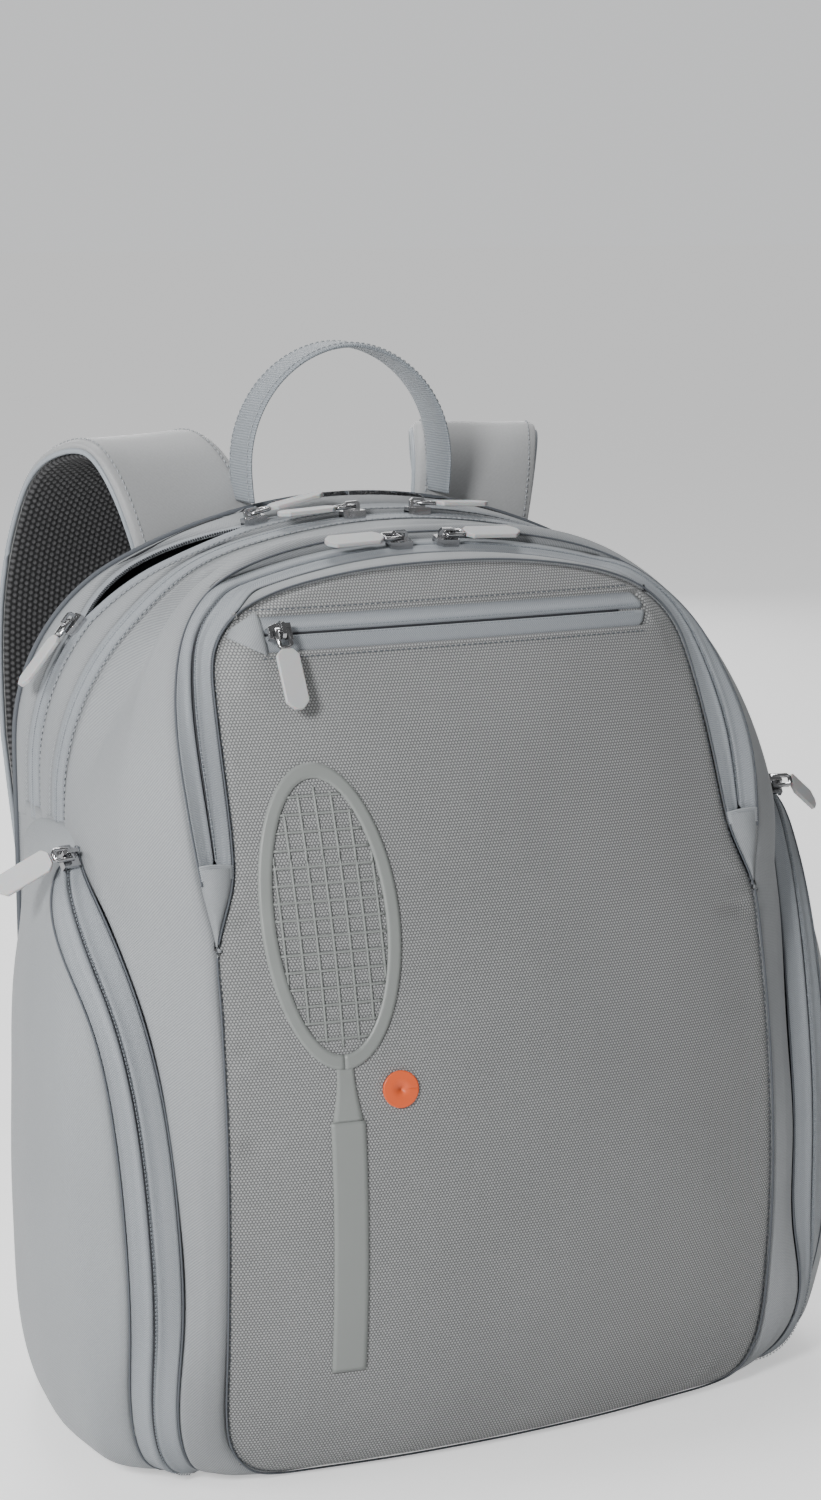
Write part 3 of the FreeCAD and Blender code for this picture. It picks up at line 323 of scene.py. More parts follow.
def solid(name, grid, thickness, mats, out=None, uv=None, **kw):
    """A closed sheet of cloth: the grid is its outer face, and its lining is a thickness in."""
    rows, cols, _ = grid.shape
    n = normals(grid, out)
    thick = np.broadcast_to(np.asarray(thickness, float), (rows, cols))[..., None]
    inner = grid - n * thick
    verts = np.vstack([grid.reshape(-1, 3), inner.reshape(-1, 3)])
    base = rows * cols
    cross = np.cross(grid[0, 1] - grid[0, 0], grid[1, 0] - grid[0, 0])
    flip = float(np.dot(cross, n[0, 0])) < 0
    faces = [quads(rows, cols, 0, flip), quads(rows, cols, base, not flip)]
    ring = np.r_[np.arange(cols), np.arange(1, rows) * cols + cols - 1,
                 (rows - 1) * cols + np.arange(cols - 2, -1, -1), np.arange(rows - 2, 0, -1) * cols]
    nxt = np.roll(ring, -1)
    wall = np.stack([ring, ring + base, nxt + base, nxt], -1)
    faces.append(wall[:, ::-1] if flip else wall)
    uv = weave_uv(grid) if uv is None else uv
    index = np.r_[np.zeros(len(faces[0])), np.full(len(faces[1]), min(1, len(mats) - 1)),
                  np.zeros(len(faces[2]))]
    return make(name, verts, np.vstack(faces), mats=mats, index=index,
                uvs=np.vstack([uv.reshape(-1, 2)] * 2), **kw)


def across(rails, s, counts):
    """A grid between neighbouring lines, straight from each to the next."""
    lines = [r(s) for r in rails]
    rows = []
    for a, b, n in zip(lines, lines[1:], counts):
        for t in np.linspace(0, 1, n, endpoint=False):
            rows.append(a * (1 - t) + b * t)
    rows.append(lines[-1])
    return np.array(rows)


def relax(grid, times):
    """Rounds a grid across its rows and leaves its two edges in place."""
    g = grid.copy()
    for _ in range(times):
        g[1:-1] = (g[:-2] + 2 * g[1:-1] + g[2:]) / 4
    return g


def edge_distance(grid):
    """Distance of each point from the first and from the last row."""
    d = np.concatenate([np.zeros((1,) + grid.shape[1:2]),
                        np.cumsum(np.linalg.norm(np.diff(grid, axis=0), axis=2), axis=0)])
    return d, d[-1] - d


rng = np.random.default_rng(7)
RIPPLES = [(unit(rng.normal(size=3)) / rng.uniform(9, 26), rng.uniform(0, 6.28), rng.uniform(0.4, 1))
           for _ in range(14)]


def ripple(p, amount):
    """Slack in the cloth: a smooth field with no direction of its own."""
    total = sum(a * np.sin(p @ k + phase) for k, phase, a in RIPPLES)
    return amount * total / math.sqrt(len(RIPPLES))


# Creases: middle, run of the crease, half length, half width, height.
CREASES = [
    ((-131, -72, 284), (1, 0.1, 0.10), 17, 4.0, -1.5), ((-133, -84, 226), (1, 0, 0.22), 15, 4.0, -1.6),
    ((-136, -87, 216), (1, 0, 0.05), 12, 3.5, 1.0), ((-135, -90, 178), (1, 0, 0.12), 18, 4.5, -1.7),
    ((-130, -92, 120), (1, 0, -0.1), 16, 5.0, -0.9), ((138, -78, 262), (1, 0.2, -0.05), 16, 4.0, -1.9),
    ((140, -74, 283), (1, 0.2, -0.5), 14, 4.0, 1.5), ((128, -86, 215), (1, 0.1, 0.2), 18, 5.0, -1.0),
    ((-128, -40, 393), (1, 0, -0.35), 16, 3.5, 1.1), ((-124, -46, 383), (1, 0, -0.12), 17, 3.5, 0.9),
    ((48, -18, 433), (0.5, 0, -1), 13, 4.5, -1.3), ((90, -20, 427), (0.45, 0, -1), 11, 4.0, -1.1),
    ((-10, -18, 433), (0.2, 0, -1), 12, 6.0, -0.7), ((-176, -36, 210), (0.3, -0.7, 0.5), 26, 7, -1.0),
    ((-70, -2, 441), (1, -0.2, 0), 26, 4.0, -1.0), ((62, 4, 445), (1, 0.1, -0.1), 24, 4.0, -0.9),
    ((-90, 40, 449), (1, 0, 0.12), 26, 4.0, -1.2), ((-112, 34, 437), (0.8, 0.5, -0.4), 20, 5.0, 1.2),
    ((30, 37, 454), (1, 0.12, 0), 30, 4.0, -0.9), ((96, 30, 440), (0.8, -0.3, -0.3), 20, 4.0, -0.9),
    ((-60, 62, 457), (1, 0.2, 0), 20, 3.5, -1.0), ((60, 92, 462), (1, -0.25, -0.1), 26, 4.0, -0.8),
    ((120, 60, 437), (0.8, 0.3, -0.5), 22, 4.5, -1.0), ((150, -30, 392), (0.2, 0.9, -0.2), 16, 5, -1.2),
    ((-105, -96, 20), (1, 0, 0.1), 22, 5, -1.2), ((70, -98, 14), (1, 0, -0.1), 26, 5, -1.4),
    ((120, -90, 18), (1, 0, 0.4), 16, 4, 1.3), ((8, -100, 16), (1, 0, 0.06), 24, 5, 0.9),
]


def crease(p):
    total = np.zeros(p.shape[:-1])
    for middle, run, half, width, height in CREASES:
        d = p - np.array(middle, float)
        r = np.array(run, float) / np.linalg.norm(run)
        t = d @ r
        off = np.linalg.norm(d - t[..., None] * r, axis=-1) / width
        total += 2.0 * height * np.exp(-(t / half) ** 2) * (1 - 0.6 * off ** 2) * np.exp(-off ** 2)
    return total


def cloth(grid, roll=1.6, reach=2.6, belly=0.6, slack=0.5, creased=1.0, out=None, ends=(1, 1)):
    """Gives a flat grid the look of sewn cloth: it turns in at its seams and is slack between."""
    first, last = edge_distance(grid)
    n = normals(grid, out)
    span = np.maximum(first[-1], 1.0)
    middle = np.sin(math.pi * np.clip(first / span, 0, 1))
    free = 1 - np.exp(-(np.minimum(first, last) / 7.0) ** 2)
    height = belly * middle + free * (ripple(grid, slack) + creased * crease(grid))
    turned = ends[0] * np.exp(-(first / reach) ** 2) + ends[1] * np.exp(-(last / reach) ** 2)
    height = height - roll * turned
    return grid + n * height[..., None]


def ring_samples(start, stop, step):
    """Parameters spaced about a step in millimetres on the main ring."""
    s = np.linspace(start, stop, 1500)
    run = lengths(main_top(s))
    return np.interp(np.linspace(0, run[-1], max(2, int(run[-1] / step))), run, s)


def tube(path, radius, sides=6, flat=None):
    """Rings of points round a line; radius may vary along it."""
    p = np.asarray(path, float)
    t = unit(np.gradient(p, axis=0))
    ref = np.tile([0.0, 0.0, 1.0], (len(p), 1)) if flat is None else np.asarray(flat, float)
    ref = np.where(np.abs((ref * t).sum(-1, keepdims=True)) > 0.95, [1.0, 0.0, 0.0], ref)
    u = unit(np.cross(t, ref))
    v = np.cross(t, u)
    a = np.linspace(0, 2 * math.pi, sides, endpoint=False)
    r = np.broadcast_to(np.asarray(radius, float), (len(p),))[:, None, None]
    return p[:, None] + r * (np.cos(a)[None, :, None] * u[:, None] + np.sin(a)[None, :, None] * v[:, None])


def tube_faces(rows, sides, start=0, closed=False):
    faces = []
    for i in range(rows if closed else rows - 1):
        k = (i + 1) % rows
        for j in range(sides):
            m = (j + 1) % sides
            faces.append((start + i * sides + j, start + i * sides + m, start + k * sides + m,
                          start + k * sides + j))
    if not closed:
        faces.append(tuple(start + j for j in range(sides))[::-1])
        faces.append(tuple(start + (rows - 1) * sides + j for j in range(sides)))
    return faces


class Parts:
    """Many small closed shapes gathered in one mesh."""

    def __init__(self):
        self.verts, self.faces, self.count = [], [], 0

    def tube(self, path, radius, sides=6, flat=None, closed=False):
        rings = tube(path, radius, sides, flat)
        if closed:
            rings = rings[:-1]
        self.faces += tube_faces(len(rings), sides, self.count, closed)
        self.verts.append(rings.reshape(-1, 3))
        self.count += rings.shape[0] * sides

    def make(self, name, **kw):
        return make(name, np.vstack(self.verts), self.faces, **kw)


def sample(points, marks, at):
    """Points of a line at given places along its marks."""
    return np.stack([np.interp(at, marks, points[:, k]) for k in range(3)], -1)


def resample(points, step):
    """The same line with evenly spaced points."""
    run = lengths(points)
    n = max(2, int(round(run[-1] / step)) + 1)
    return sample(points, run, np.linspace(0, run[-1], n))


def stitches(parts, points, away, pitch=3.3, length=2.1, radius=0.36, lift=0.15):
    """A row of thread, each stitch a rounded bar that dips at its ends."""
    run = lengths(points)
    for at in np.arange(pitch / 2, run[-1] - pitch / 2, pitch):
        near = np.array([at - length / 2, at - length / 3, at + length / 3, at + length / 2])
        n = sample(away, run, at)
        p = sample(points, run, near) + n * np.array([-0.35, lift, lift, -0.35])[:, None]
        parts.tube(p, np.array([0.6, 1, 1, 0.6]) * radius, 5, flat=np.tile(n, (4, 1)))


# ---------------------------------------------------------------- materials
class Nodes:
    """Short calls that add nodes to a material."""

    def __init__(self, name):
        self.material = bpy.data.materials.new(name)
        self.material.use_nodes = True
        self.tree = self.material.node_tree
        self.shader = self.tree.nodes["Principled BSDF"]

    def new(self, kind, **inputs):
        node = self.tree.nodes.new("ShaderNode" + kind)
        for key, value in inputs.items():
            self.put(node.inputs[key], value)
        return node

    def put(self, socket, value):
        if isinstance(value, bpy.types.NodeSocket):
            self.tree.links.new(value, socket)
        else:
            socket.default_value = value

    def math(self, op, a, b=0.0, c=0.0):
        node = self.new("Math")
        node.operation = op
        for socket, value in zip(node.inputs, (a, b, c)):
            self.put(socket, value)
        return node.outputs[0]

    def wave(self, u, v, ku, kv):
        """Cosine of a plane wave over the cloth, its numbers in turns per metre."""
        phase = self.math("ADD", self.math("MULTIPLY", u, 2 * math.pi * ku),
                          self.math("MULTIPLY", v, 2 * math.pi * kv))
        return self.math("COSINE", phase)

    def mix(self, factor, a, b):
        node = self.new("Mix")
        node.data_type = "RGBA"
        self.put(node.inputs[0], factor)
        self.put(node.inputs[6], a)
        self.put(node.inputs[7], b)
        return node.outputs[2]

    def ramp(self, value, low, high, to_low=0.0, to_high=1.0):
        node = self.new("MapRange", Value=value)
        for key, number in (("From Min", low), ("From Max", high), ("To Min", to_low), ("To Max", to_high)):
            node.inputs[key].default_value = number
        return node.outputs[0]

    def noise(self, scale, detail=2.0):
        place = self.new("TexCoord")
        node = self.new("TexNoise", Vector=place.outputs["Object"])
        node.inputs["Scale"].default_value = scale
        node.inputs["Detail"].default_value = detail
        return node.outputs["Fac"]

    def uv(self):
        node = self.new("UVMap")
        node.uv_map = "weave"
        split = self.new("SeparateXYZ", Vector=node.outputs[0])
        return split.outputs[0], split.outputs[1]

    def bump(self, height, distance, strength=1.0):
        node = self.new("Bump", Height=height)
        node.inputs["Distance"].default_value = distance
        node.inputs["Strength"].default_value = strength
        self.tree.links.new(node.outputs[0], self.shader.inputs["Normal"])


def honeycomb(g, u, v, pitch):
    k = 2 / (math.sqrt(3) * pitch)
    h = math.sqrt(3) / 2 * k
    total = g.math("ADD", g.wave(u, v, 0, k), g.wave(u, v, h, k / 2))
    return g.ramp(g.math("ADD", total, g.wave(u, v, h, -k / 2)), -1.2, 1.6)


def twill(g, u, v, pitch):
    k = 1 / pitch
    ribs = g.wave(u, v, 0.75 * k, 0.75 * k)
    threads = g.wave(u, v, 1.4 * k, -0.5 * k)
    return g.ramp(g.math("ADD", ribs, g.math("MULTIPLY", threads, 0.5)), -1.3, 1.3)


def herringbone(g, u, v, pitch):
    zigzag = g.math("PINGPONG", v, 0.0021)
    slanted = g.math("ADD", g.math("MULTIPLY", u, 2 * math.pi / pitch),
                     g.math("MULTIPLY", zigzag, 2 * math.pi / pitch))
    return g.ramp(g.math("COSINE", slanted), -1, 1)


def ribs(g, u, v, pitch):
    cross = g.wave(u, v, 1 / pitch, 0)
    fine = g.wave(u, v, 0.5 / pitch, 1.6 / pitch)
    return g.ramp(g.math("ADD", cross, g.math("MULTIPLY", fine, 0.6)), -1.4, 1.4)


def fabric(name, light, dark, pattern, pitch, depth, rough=0.5, sheen=0.12, seam_shade=0.2, specular=0.5):
    """Woven cloth: pattern in colour, gloss and bump, painted shade along the seams and gaps, and uneven
    tone.
    """
    g = Nodes(name)
    u, v = g.uv()
    weave = pattern(g, u, v, pitch)
    tone = g.noise(9.0, 3.0)
    fibres = g.noise(900.0, 1.0)
    mixed = g.mix(weave, (*dark, 1), (*light, 1))
    # painted shade: the colour darkens towards seams, gaps and grooves, where shade falls, by the mask in
    # the "edge" attribute
    seam_shade_mask = g.new("Attribute")
    seam_shade_mask.attribute_name = "edge"
    shade = g.math("MULTIPLY", g.ramp(tone, 0.3, 0.7, 0.95, 1.04), g.ramp(fibres, 0.3, 0.7, 0.96, 1.03))
    shade = g.math("MULTIPLY", shade, g.ramp(seam_shade_mask.outputs["Fac"], 0.0, 1.0, 1.0, 1.0 - seam_shade))
    scaled = g.new("VectorMath", Vector=mixed)
    scaled.operation = "SCALE"
    g.put(scaled.inputs["Scale"], shade)
    g.put(g.shader.inputs["Base Color"], scaled.outputs[0])
    gloss = g.ramp(weave, 0, 1, rough + 0.1, rough - 0.06)
    g.put(g.shader.inputs["Roughness"], g.math("ADD", gloss, g.ramp(tone, 0.3, 0.7, -0.04, 0.04)))
    g.shader.inputs["Sheen Weight"].default_value = sheen
    g.shader.inputs["Sheen Roughness"].default_value = 0.45
    g.shader.inputs["Specular IOR Level"].default_value = specular
    g.bump(g.math("ADD", weave, g.math("MULTIPLY", fibres, 0.4)), depth)
    return g.material


def plain(name, color, rough, metallic=0.0, grain=400.0, grain_depth=0.00006, spread=0.08, **sockets):
    """Moulded, printed or cast surfaces: fine grain, uneven gloss and handling marks."""
    g = Nodes(name)
    fine, broad = g.noise(grain, 2.0), g.noise(40.0, 4.0)
    dark = tuple(c * (1 - spread) for c in color)
    g.put(g.shader.inputs["Base Color"], g.mix(broad, (*dark, 1), (*color, 1)))
    gloss = g.ramp(broad, 0.3, 0.7, rough - 0.05, rough + 0.07)
    g.put(g.shader.inputs["Roughness"], g.math("ADD", gloss, g.ramp(fine, 0.3, 0.7, -0.03, 0.03)))
    g.shader.inputs["Metallic"].default_value = metallic
    for key, value in sockets.items():
        g.shader.inputs[key.replace("_", " ")].default_value = value
    g.bump(g.math("ADD", fine, g.math("MULTIPLY", broad, 0.5)), grain_depth)
    return g.material


shell_cloth = fabric("shell_cloth", (0.36, 0.375, 0.388), (0.235, 0.247, 0.26), twill, 0.00115, 0.00012)
panel_cloth = fabric("panel_cloth", (0.42, 0.425, 0.425), (0.12, 0.124, 0.126), honeycomb, 0.0016, 0.00022)
pocket_cloth = fabric("pocket_cloth", (0.355, 0.375, 0.39), (0.25, 0.265, 0.28), twill, 0.0009, 0.0001)
tape_cloth = fabric("tape_cloth", (0.35, 0.375, 0.40), (0.24, 0.26, 0.285), herringbone, 0.0012, 0.00012)
satin = fabric("strap_satin", (0.38, 0.385, 0.39), (0.32, 0.325, 0.33), ribs, 0.0007, 0.00004,
               rough=0.42, sheen=0.5)
web_cloth = fabric("webbing_cloth", (0.32, 0.35, 0.38), (0.20, 0.225, 0.25), ribs, 0.0014, 0.00022,
                   rough=0.45)
lining_cloth = fabric("lining_cloth", (0.035, 0.037, 0.042), (0.015, 0.016, 0.019), twill, 0.0011, 0.0001)
mesh_cloth = fabric("spacer_mesh", (0.085, 0.085, 0.088), (0.004, 0.004, 0.005), honeycomb, 0.0034, 0.0009,
                    rough=0.7)
thread = plain("thread", (0.10, 0.11, 0.125), 0.75)
pale_thread = plain("pale_thread", (0.36, 0.38, 0.40), 0.7)
coil_plastic = plain("zip_coil", (0.22, 0.245, 0.27), 0.45)
# painted shade: near-black for the coil seen in a zip's gap and for the open racket zip's rear teeth, which
# stand in shade
gap_shade_paint = plain("zip_gap_shade", (0.03, 0.032, 0.038), 0.7)
chrome = plain("slider_chrome", (0.50, 0.50, 0.51), 0.16, metallic=1.0, grain=1500.0, grain_depth=0.00001)
rubber = plain("pull_rubber", (0.52, 0.53, 0.535), 0.42, grain=700.0, Subsurface_Weight=0.25,
               Subsurface_Scale=0.004)
film = plain("emblem_film", (0.255, 0.27, 0.26), 0.42, grain=1200.0, grain_depth=0.00003)
orange = plain("accent_film", (0.80, 0.12, 0.03), 0.4, grain=1200.0, grain_depth=0.00003)
buckle = plain("buckle_plastic", (0.05, 0.052, 0.056), 0.4, grain=900.0)
board = plain("board", (0.09, 0.09, 0.095), 0.7)


def mark_seam_shade(piece, values):
    """Marks how near each point is to a seam, gap or groove, for the painted shade there."""
    mark = piece.data.attributes.new("edge", "FLOAT", "POINT")
    mark.data.foreach_set("value", np.asarray(values, np.float32).ravel())


def sewn(name, grid, thickness, mats, **kw):
    """A closed sheet of cloth with painted shade along its first and last rows."""
    piece = solid(name, grid, thickness, mats, **kw)
    first, last = edge_distance(grid)
    e = np.clip(np.exp(-(first / 3.5) ** 2) + np.exp(-(last / 3.5) ** 2), 0, 1)
    mark_seam_shade(piece, np.r_[e.ravel(), e.ravel()])
    return piece


# ---------------------------------------------------------------- shell
lining = (shell_cloth, lining_cloth)
ALL = ring_samples(-1, 1, 3.0)
pocket_in = shifted(pocket_edge, lambda s: np.stack(
    [-np.sign(s) * 5 * ease((0.56 - (1 - np.abs(s))) / 0.06), 4 + 0 * s, 0 * s], -1))
main_front = shifted(main_line, along_y(-TAPE - GAP))
main_rear = shifted(main_line, along_y(TAPE + GAP))


def middle_rail(s):
    """Between the front band and the side pocket, where the cloth bellies out."""
    a, b = band_edge(s), pocket_edge(s)
    p = (a + b) / 2
    h = 1 - np.abs(s)
    rise = 1.5 + 6.5 * ease((h - 0.42) / 0.15) * ease((1.0 - h) / 0.2)
    along = unit(np.gradient(band_edge(s), axis=0))
    n = unit(np.cross(along, b - a))
    n = np.where((n * (p - CENTRE)).sum(-1, keepdims=True) > 0, n, -n)
    return p + n * rise[..., None]


grid = across([band_edge, middle_rail, pocket_edge, pocket_in, main_front], ALL, [9, 9, 2, 12])
grid = relax(grid, 3)
sewn("main_shell_skin", cloth(grid, belly=0.5, slack=0.7, ends=(1, 0.6)), 2.0, lining,
     slot="shell_fabric", replaces=("main_shell",))

OPEN = 0.445  # zips over the top end this far from the top centre
UPPER = ring_samples(-OPEN, OPEN, 1.5)
LOWER = np.r_[ring_samples(OPEN - 0.012, 1, 4.0), ring_samples(-1, -OPEN + 0.012, 4.0)[1:]]
racket_front_in = shifted(racket_line, along_y(lambda s: -GAP - mouth(s, MOUTH_FRONT)))
racket_rear_in = shifted(racket_line, along_y(lambda s: GAP + mouth(s, MOUTH_REAR)))
racket_front = shifted(racket_front_in, along_y(-TAPE))
racket_rear = shifted(racket_rear_in, along_y(TAPE))
sewn("racket_front_band", cloth(across([main_rear, racket_front], UPPER, [7]), roll=0.9, reach=1.6,
                                belly=0.9, slack=0.3), 2.0, lining, slot="shell_fabric")
sewn("racket_rear_band", cloth(across([racket_rear, rear_seam], UPPER, [9]), roll=0.9, reach=1.8,
                               belly=1.2, slack=0.4), 2.0, lining, slot="shell_fabric",
     replaces=("racket_shell",))
low_grid = across([main_front, main_rear, racket_front, racket_rear, rear_seam], LOWER, [5, 4, 5, 6])
sewn("rear_lower_shell", cloth(low_grid, slack=0.3, ends=(0, 1)), 2.0, lining, slot="shell_fabric")

TIP_S = parameter(seam, shared[-1])  # where the front zip's patch starts, and where its tape does
PATCH_S = parameter(band_edge, (154.3, -69, 301))
top_band = ring_samples(-PATCH_S, PATCH_S, 1.5)


def band_mix(s):
    """0 over the top, where the tape has its full width, and 1 down the sides, where the band sets it."""
    return ease((np.abs(front_line(s)[..., 0]) - ARC_HALF) / ARC_FADE)[..., None]


def tape_side(sign):
    """One edge of the front zip's tape."""
    def at(s):
        s = np.asarray(s, float)
        line, a, b = front_line(s), seam(s), band_edge(s)
        f = band_mix(s)
        over = line + sign * TAPE * unit(b - a)
        side = a + 0.7 * unit(b - a) if sign < 0 else b - 0.7 * unit(b - a)
        return over * (1 - f) + side * f
    return at


front_in, front_out = tape_side(-1), tape_side(1)
sewn("front_gusset_inner", cloth(across([seam, front_in], top_band, [8]), roll=0.8, reach=1.6, belly=0.5,
                                 slack=0.3), 1.6, lining, slot="shell_fabric")
sewn("front_gusset_outer", cloth(across([front_out, band_edge], top_band, [6]), roll=0.6, reach=1.4,
                                 belly=0.3, slack=0.2), 1.6, lining, slot="shell_fabric",
     replaces=("front_gusset",))
for side, sign in (("left", -1), ("right", 1)):
    s = np.linspace(sign * TIP_S, sign * (PATCH_S - 0.012), 34)
    s = s if sign < 0 else s[::-1]
    grid = cloth(across([seam, band_edge], s, [10]), roll=0.9, reach=1.5, belly=1.2, slack=0.2)
    climb = ease((grid[..., 2] - 288) / 12)
    bow = np.sin(math.pi * np.linspace(0, 1, len(grid)))[:, None]
    grid = grid + normals(grid) * (climb * (0.2 + 1.3 * bow))[..., None]
    sewn(f"front_patch_{side}", grid, 1.6 + 1.2 * climb, (pocket_cloth, lining_cloth), slot="shell_fabric")
    tack = Parts()
    for k in range(7):
        cut = np.array([sign * (PATCH_S - 0.0135 + 0.0016 * k)])
        bar = across([seam, band_edge], cut, [10])[:, 0]
        away = unit(bar - CENTRE)
        lift = -0.4 + 2.3 * np.sin(math.pi * np.linspace(0, 1, len(bar))) ** 0.6
        tack.tube(bar + away * lift[:, None], 0.62, 6)
    tack.make(f"front_tack_{side}", mats=(pale_thread,), slot="zip_tape")


# ---------------------------------------------------------------- front panel
ZIP_Z, ZIP_HALF = 413.0, 108.0  # the straight zip's height, and half its length
GROOVE = 1.7
SIDE_X, SIDE_Z = np.array([p[0] for p in SEAM[5:]]), np.array([p[1] for p in SEAM[5:]])


def panel_y(x, z):
    """Front face with the flatter stretch that carries the straight zip."""
    room = np.interp(z, SIDE_Z, SIDE_X) - np.abs(x)
    flat = 5.5 * np.clip(np.abs(x) / ZIP_HALF, 0, 1) ** 2 * np.exp(-((z - ZIP_Z) / 26.0) ** 2)
    return dome(x, z) - flat * ease(room / 16)


def seam_xz(s):
    return seam(s)[..., [0, 2]]


def height_s(z):
    """Left side parameter of the front seam at a height."""
    s = np.linspace(-0.9, -0.05, 3000)
    return float(np.interp(z, seam_xz(s)[:, 1], s))


corner = float(parameter(seam, (-143, float(dome(143, 14)), 14)))
marks = [corner, height_s(ZIP_Z - TAPE), height_s(ZIP_Z + TAPE)]
PANEL_WIDTH = 246
columns = np.unique(np.r_[np.linspace(0, 1, 131), 0.5 - ZIP_HALF / PANEL_WIDTH,
                          0.5 + ZIP_HALF / PANEL_WIDTH])


def between(a, b):
    return a + (b - a) * columns[:, None]


base_s = np.interp(columns, [0, 0.5, 1], [0, 1, 2])
bottom = seam_xz(np.where(base_s < 1, corner - (corner + 1) * base_s, 1 - (1 + corner) * (base_s - 1)))
level_lines = [between(seam_xz(m), seam_xz(-m)) for m in marks[1:]]
crown = seam_xz(np.interp(columns, [0, 1], [marks[2], -marks[2]]))
guides = [bottom, *level_lines, crown]
left_s = [(marks[0], marks[1]), (marks[1], marks[2]), None]
row_shares = [np.linspace(0, 1, 165)[:-1], np.array([0, 0.03, 0.06, 0.2, 0.35, 0.5, 0.65, 0.8, 0.94, 0.97]),
              np.linspace(0, 1, 15)]
rows, groove = [], []
for k, shares in enumerate(row_shares):
    a, b = guides[k], guides[k + 1]
    for t in shares:
        row = a * (1 - t) + b * t
        if left_s[k]:
            s = left_s[k][0] * (1 - t) + left_s[k][1] * t
            row = row + (1 - columns[:, None]) * (seam_xz(s) - row[0]) + columns[:, None] * (
                seam_xz(-s) - row[-1])
        rows.append(row)
        groove.append(1.0 if k == 1 and 0.02 < t < 0.98 else 0.0)
flat_panel = np.array(rows)
x, z = flat_panel[..., 0], flat_panel[..., 1]
panel = np.stack([x, panel_y(x, z), z], -1)

FRONT_RIM = seam_xz(np.linspace(-1, 1, 700))


def rim_distance(points, edge=FRONT_RIM):
    """Distance of points from a seam, both seen from the front."""
    flat = points.reshape(-1, 2)
    best = np.full(len(flat), 1e9)
    for a in range(0, len(edge), 50):
        best = np.minimum(best, np.linalg.norm(flat[:, None] - edge[None, a:a + 50], axis=2).min(1))
    return best.reshape(points.shape[:-1])


def panel_height(p, rim):
    """How far the panel stands proud: a belly, slack and creases, turned in at its seam."""
    free = 1 - np.exp(-(rim / 8.0) ** 2)
    calm = 1 - 0.7 * np.exp(-((p[..., 2] - ZIP_Z) / 14) ** 2)
    return (2.0 * (1 - np.exp(-(rim / 30.0) ** 2)) + free * calm * (ripple(p, 0.55) + crease(p))
            - 2.0 * np.exp(-(rim / 2.6) ** 2))


rim = rim_distance(flat_panel)
inside = np.abs(flat_panel[..., 0]) < ZIP_HALF + 0.5
sunk = np.array(groove)[:, None] * inside * GROOVE
n = normals(panel)
panel = panel + n * (panel_height(panel, rim) - sunk)[..., None]
uv = np.stack([flat_panel[..., 0], flat_panel[..., 1] * 1.02], -1)
piece = solid("front_panel_skin", panel, 2.2, (panel_cloth, lining_cloth), uv=uv, slot="panel_fabric",
              replaces=("front_panel", "front_pocket_lining"))
# painted shade: the panel is darker near its seam and in the sunk band under the straight zip
edge = np.clip(np.exp(-(rim / 3.5) ** 2) + np.array(groove)[:, None] * inside * 0.6, 0, 1)
mark_seam_shade(piece, np.r_[edge.ravel(), edge.ravel()])


def on_panel(x, z, lift=0.0):
    """Points on the finished front panel."""
    x, z = np.asarray(x, float), np.asarray(z, float)
    p = np.stack([x, panel_y(x, z), z], -1)
    h = 0.5
    gx = (panel_y(x + h, z) - panel_y(x - h, z)) / (2 * h)
    gz = (panel_y(x, z + h) - panel_y(x, z - h)) / (2 * h)
    n = unit(np.stack([gx, -np.ones_like(gx), gz], -1))
    rim = rim_distance(np.stack([x, z], -1))
    return p + n * (panel_height(p, rim) + lift)[..., None], n


# ---------------------------------------------------------------- zips
TAPE_ROWS = np.array([0, 0.1, 0.25, 0.4, 0.52, 0.62, 0.72, 0.8, 0.88, 0.94, 0.98, 1.0])


def half_tape(name, outer, inner, s, out=None, **kw):
    """Half a zip's tape, raised over its coil and turned down at the gap."""
    a, b = outer(s), inner(s)
    grid = a + (b - a) * TAPE_ROWS[:, None, None]
    _, d = edge_distance(grid)
    n = normals(grid, out)
    h = 0.9 * np.exp(-((d - 2.2) / 1.7) ** 2) - 1.3 * np.exp(-(d / 0.45) ** 2) + 0.15
    piece = solid(name, grid + n * h[..., None], 1.0, (tape_cloth,), out=out, slot="zip_tape", **kw)
    # painted shade: the tape is darker at the coil gap and along its outer edge
    mark = np.clip(0.8 * np.exp(-(d / 0.6) ** 2) + 0.9 * np.exp(-((d[:1] - d) / 1.4) ** 2), 0, 1)
    mark_seam_shade(piece, np.r_[mark.ravel(), mark.ravel()])
    return piece


HALF_GAP, COIL_ROW, COIL_STEP = 0.28, 1.75, 2.0


def closed_zip(name, line, s, outer_a, outer_b, rows_name, replaces=()):
    """Two half tapes that meet over a coil painted near-black for the shade in their gap, with the coil's
    thread showing on both.
    """
    apart = lambda q, k: line(q) + unit(outer_b(q) - outer_a(q)) * k
    half_tape(name + "_tape_a", outer_a, lambda q: apart(q, -HALF_GAP), s, replaces=replaces)
    half_tape(name + "_tape_b", outer_b, lambda q: apart(q, HALF_GAP), s)
    p, _, over, away = frames(line, s)
    parts = Parts()
    # painted shade: the coil under the gap is near-black
    parts.tube(resample(p - away * 0.9, 2.0), 0.95, 8)
    parts.make(name + "_coil", mats=(gap_shade_paint,), slot="zip_tape")
    dots = Parts()
    for amount in (-COIL_ROW, COIL_ROW):
        stitches(dots, p + over * amount, away, COIL_STEP, 1.2, 0.26, 1.02)
    dots.make(name + rows_name, mats=(coil_plastic,), slot="zip_tape")


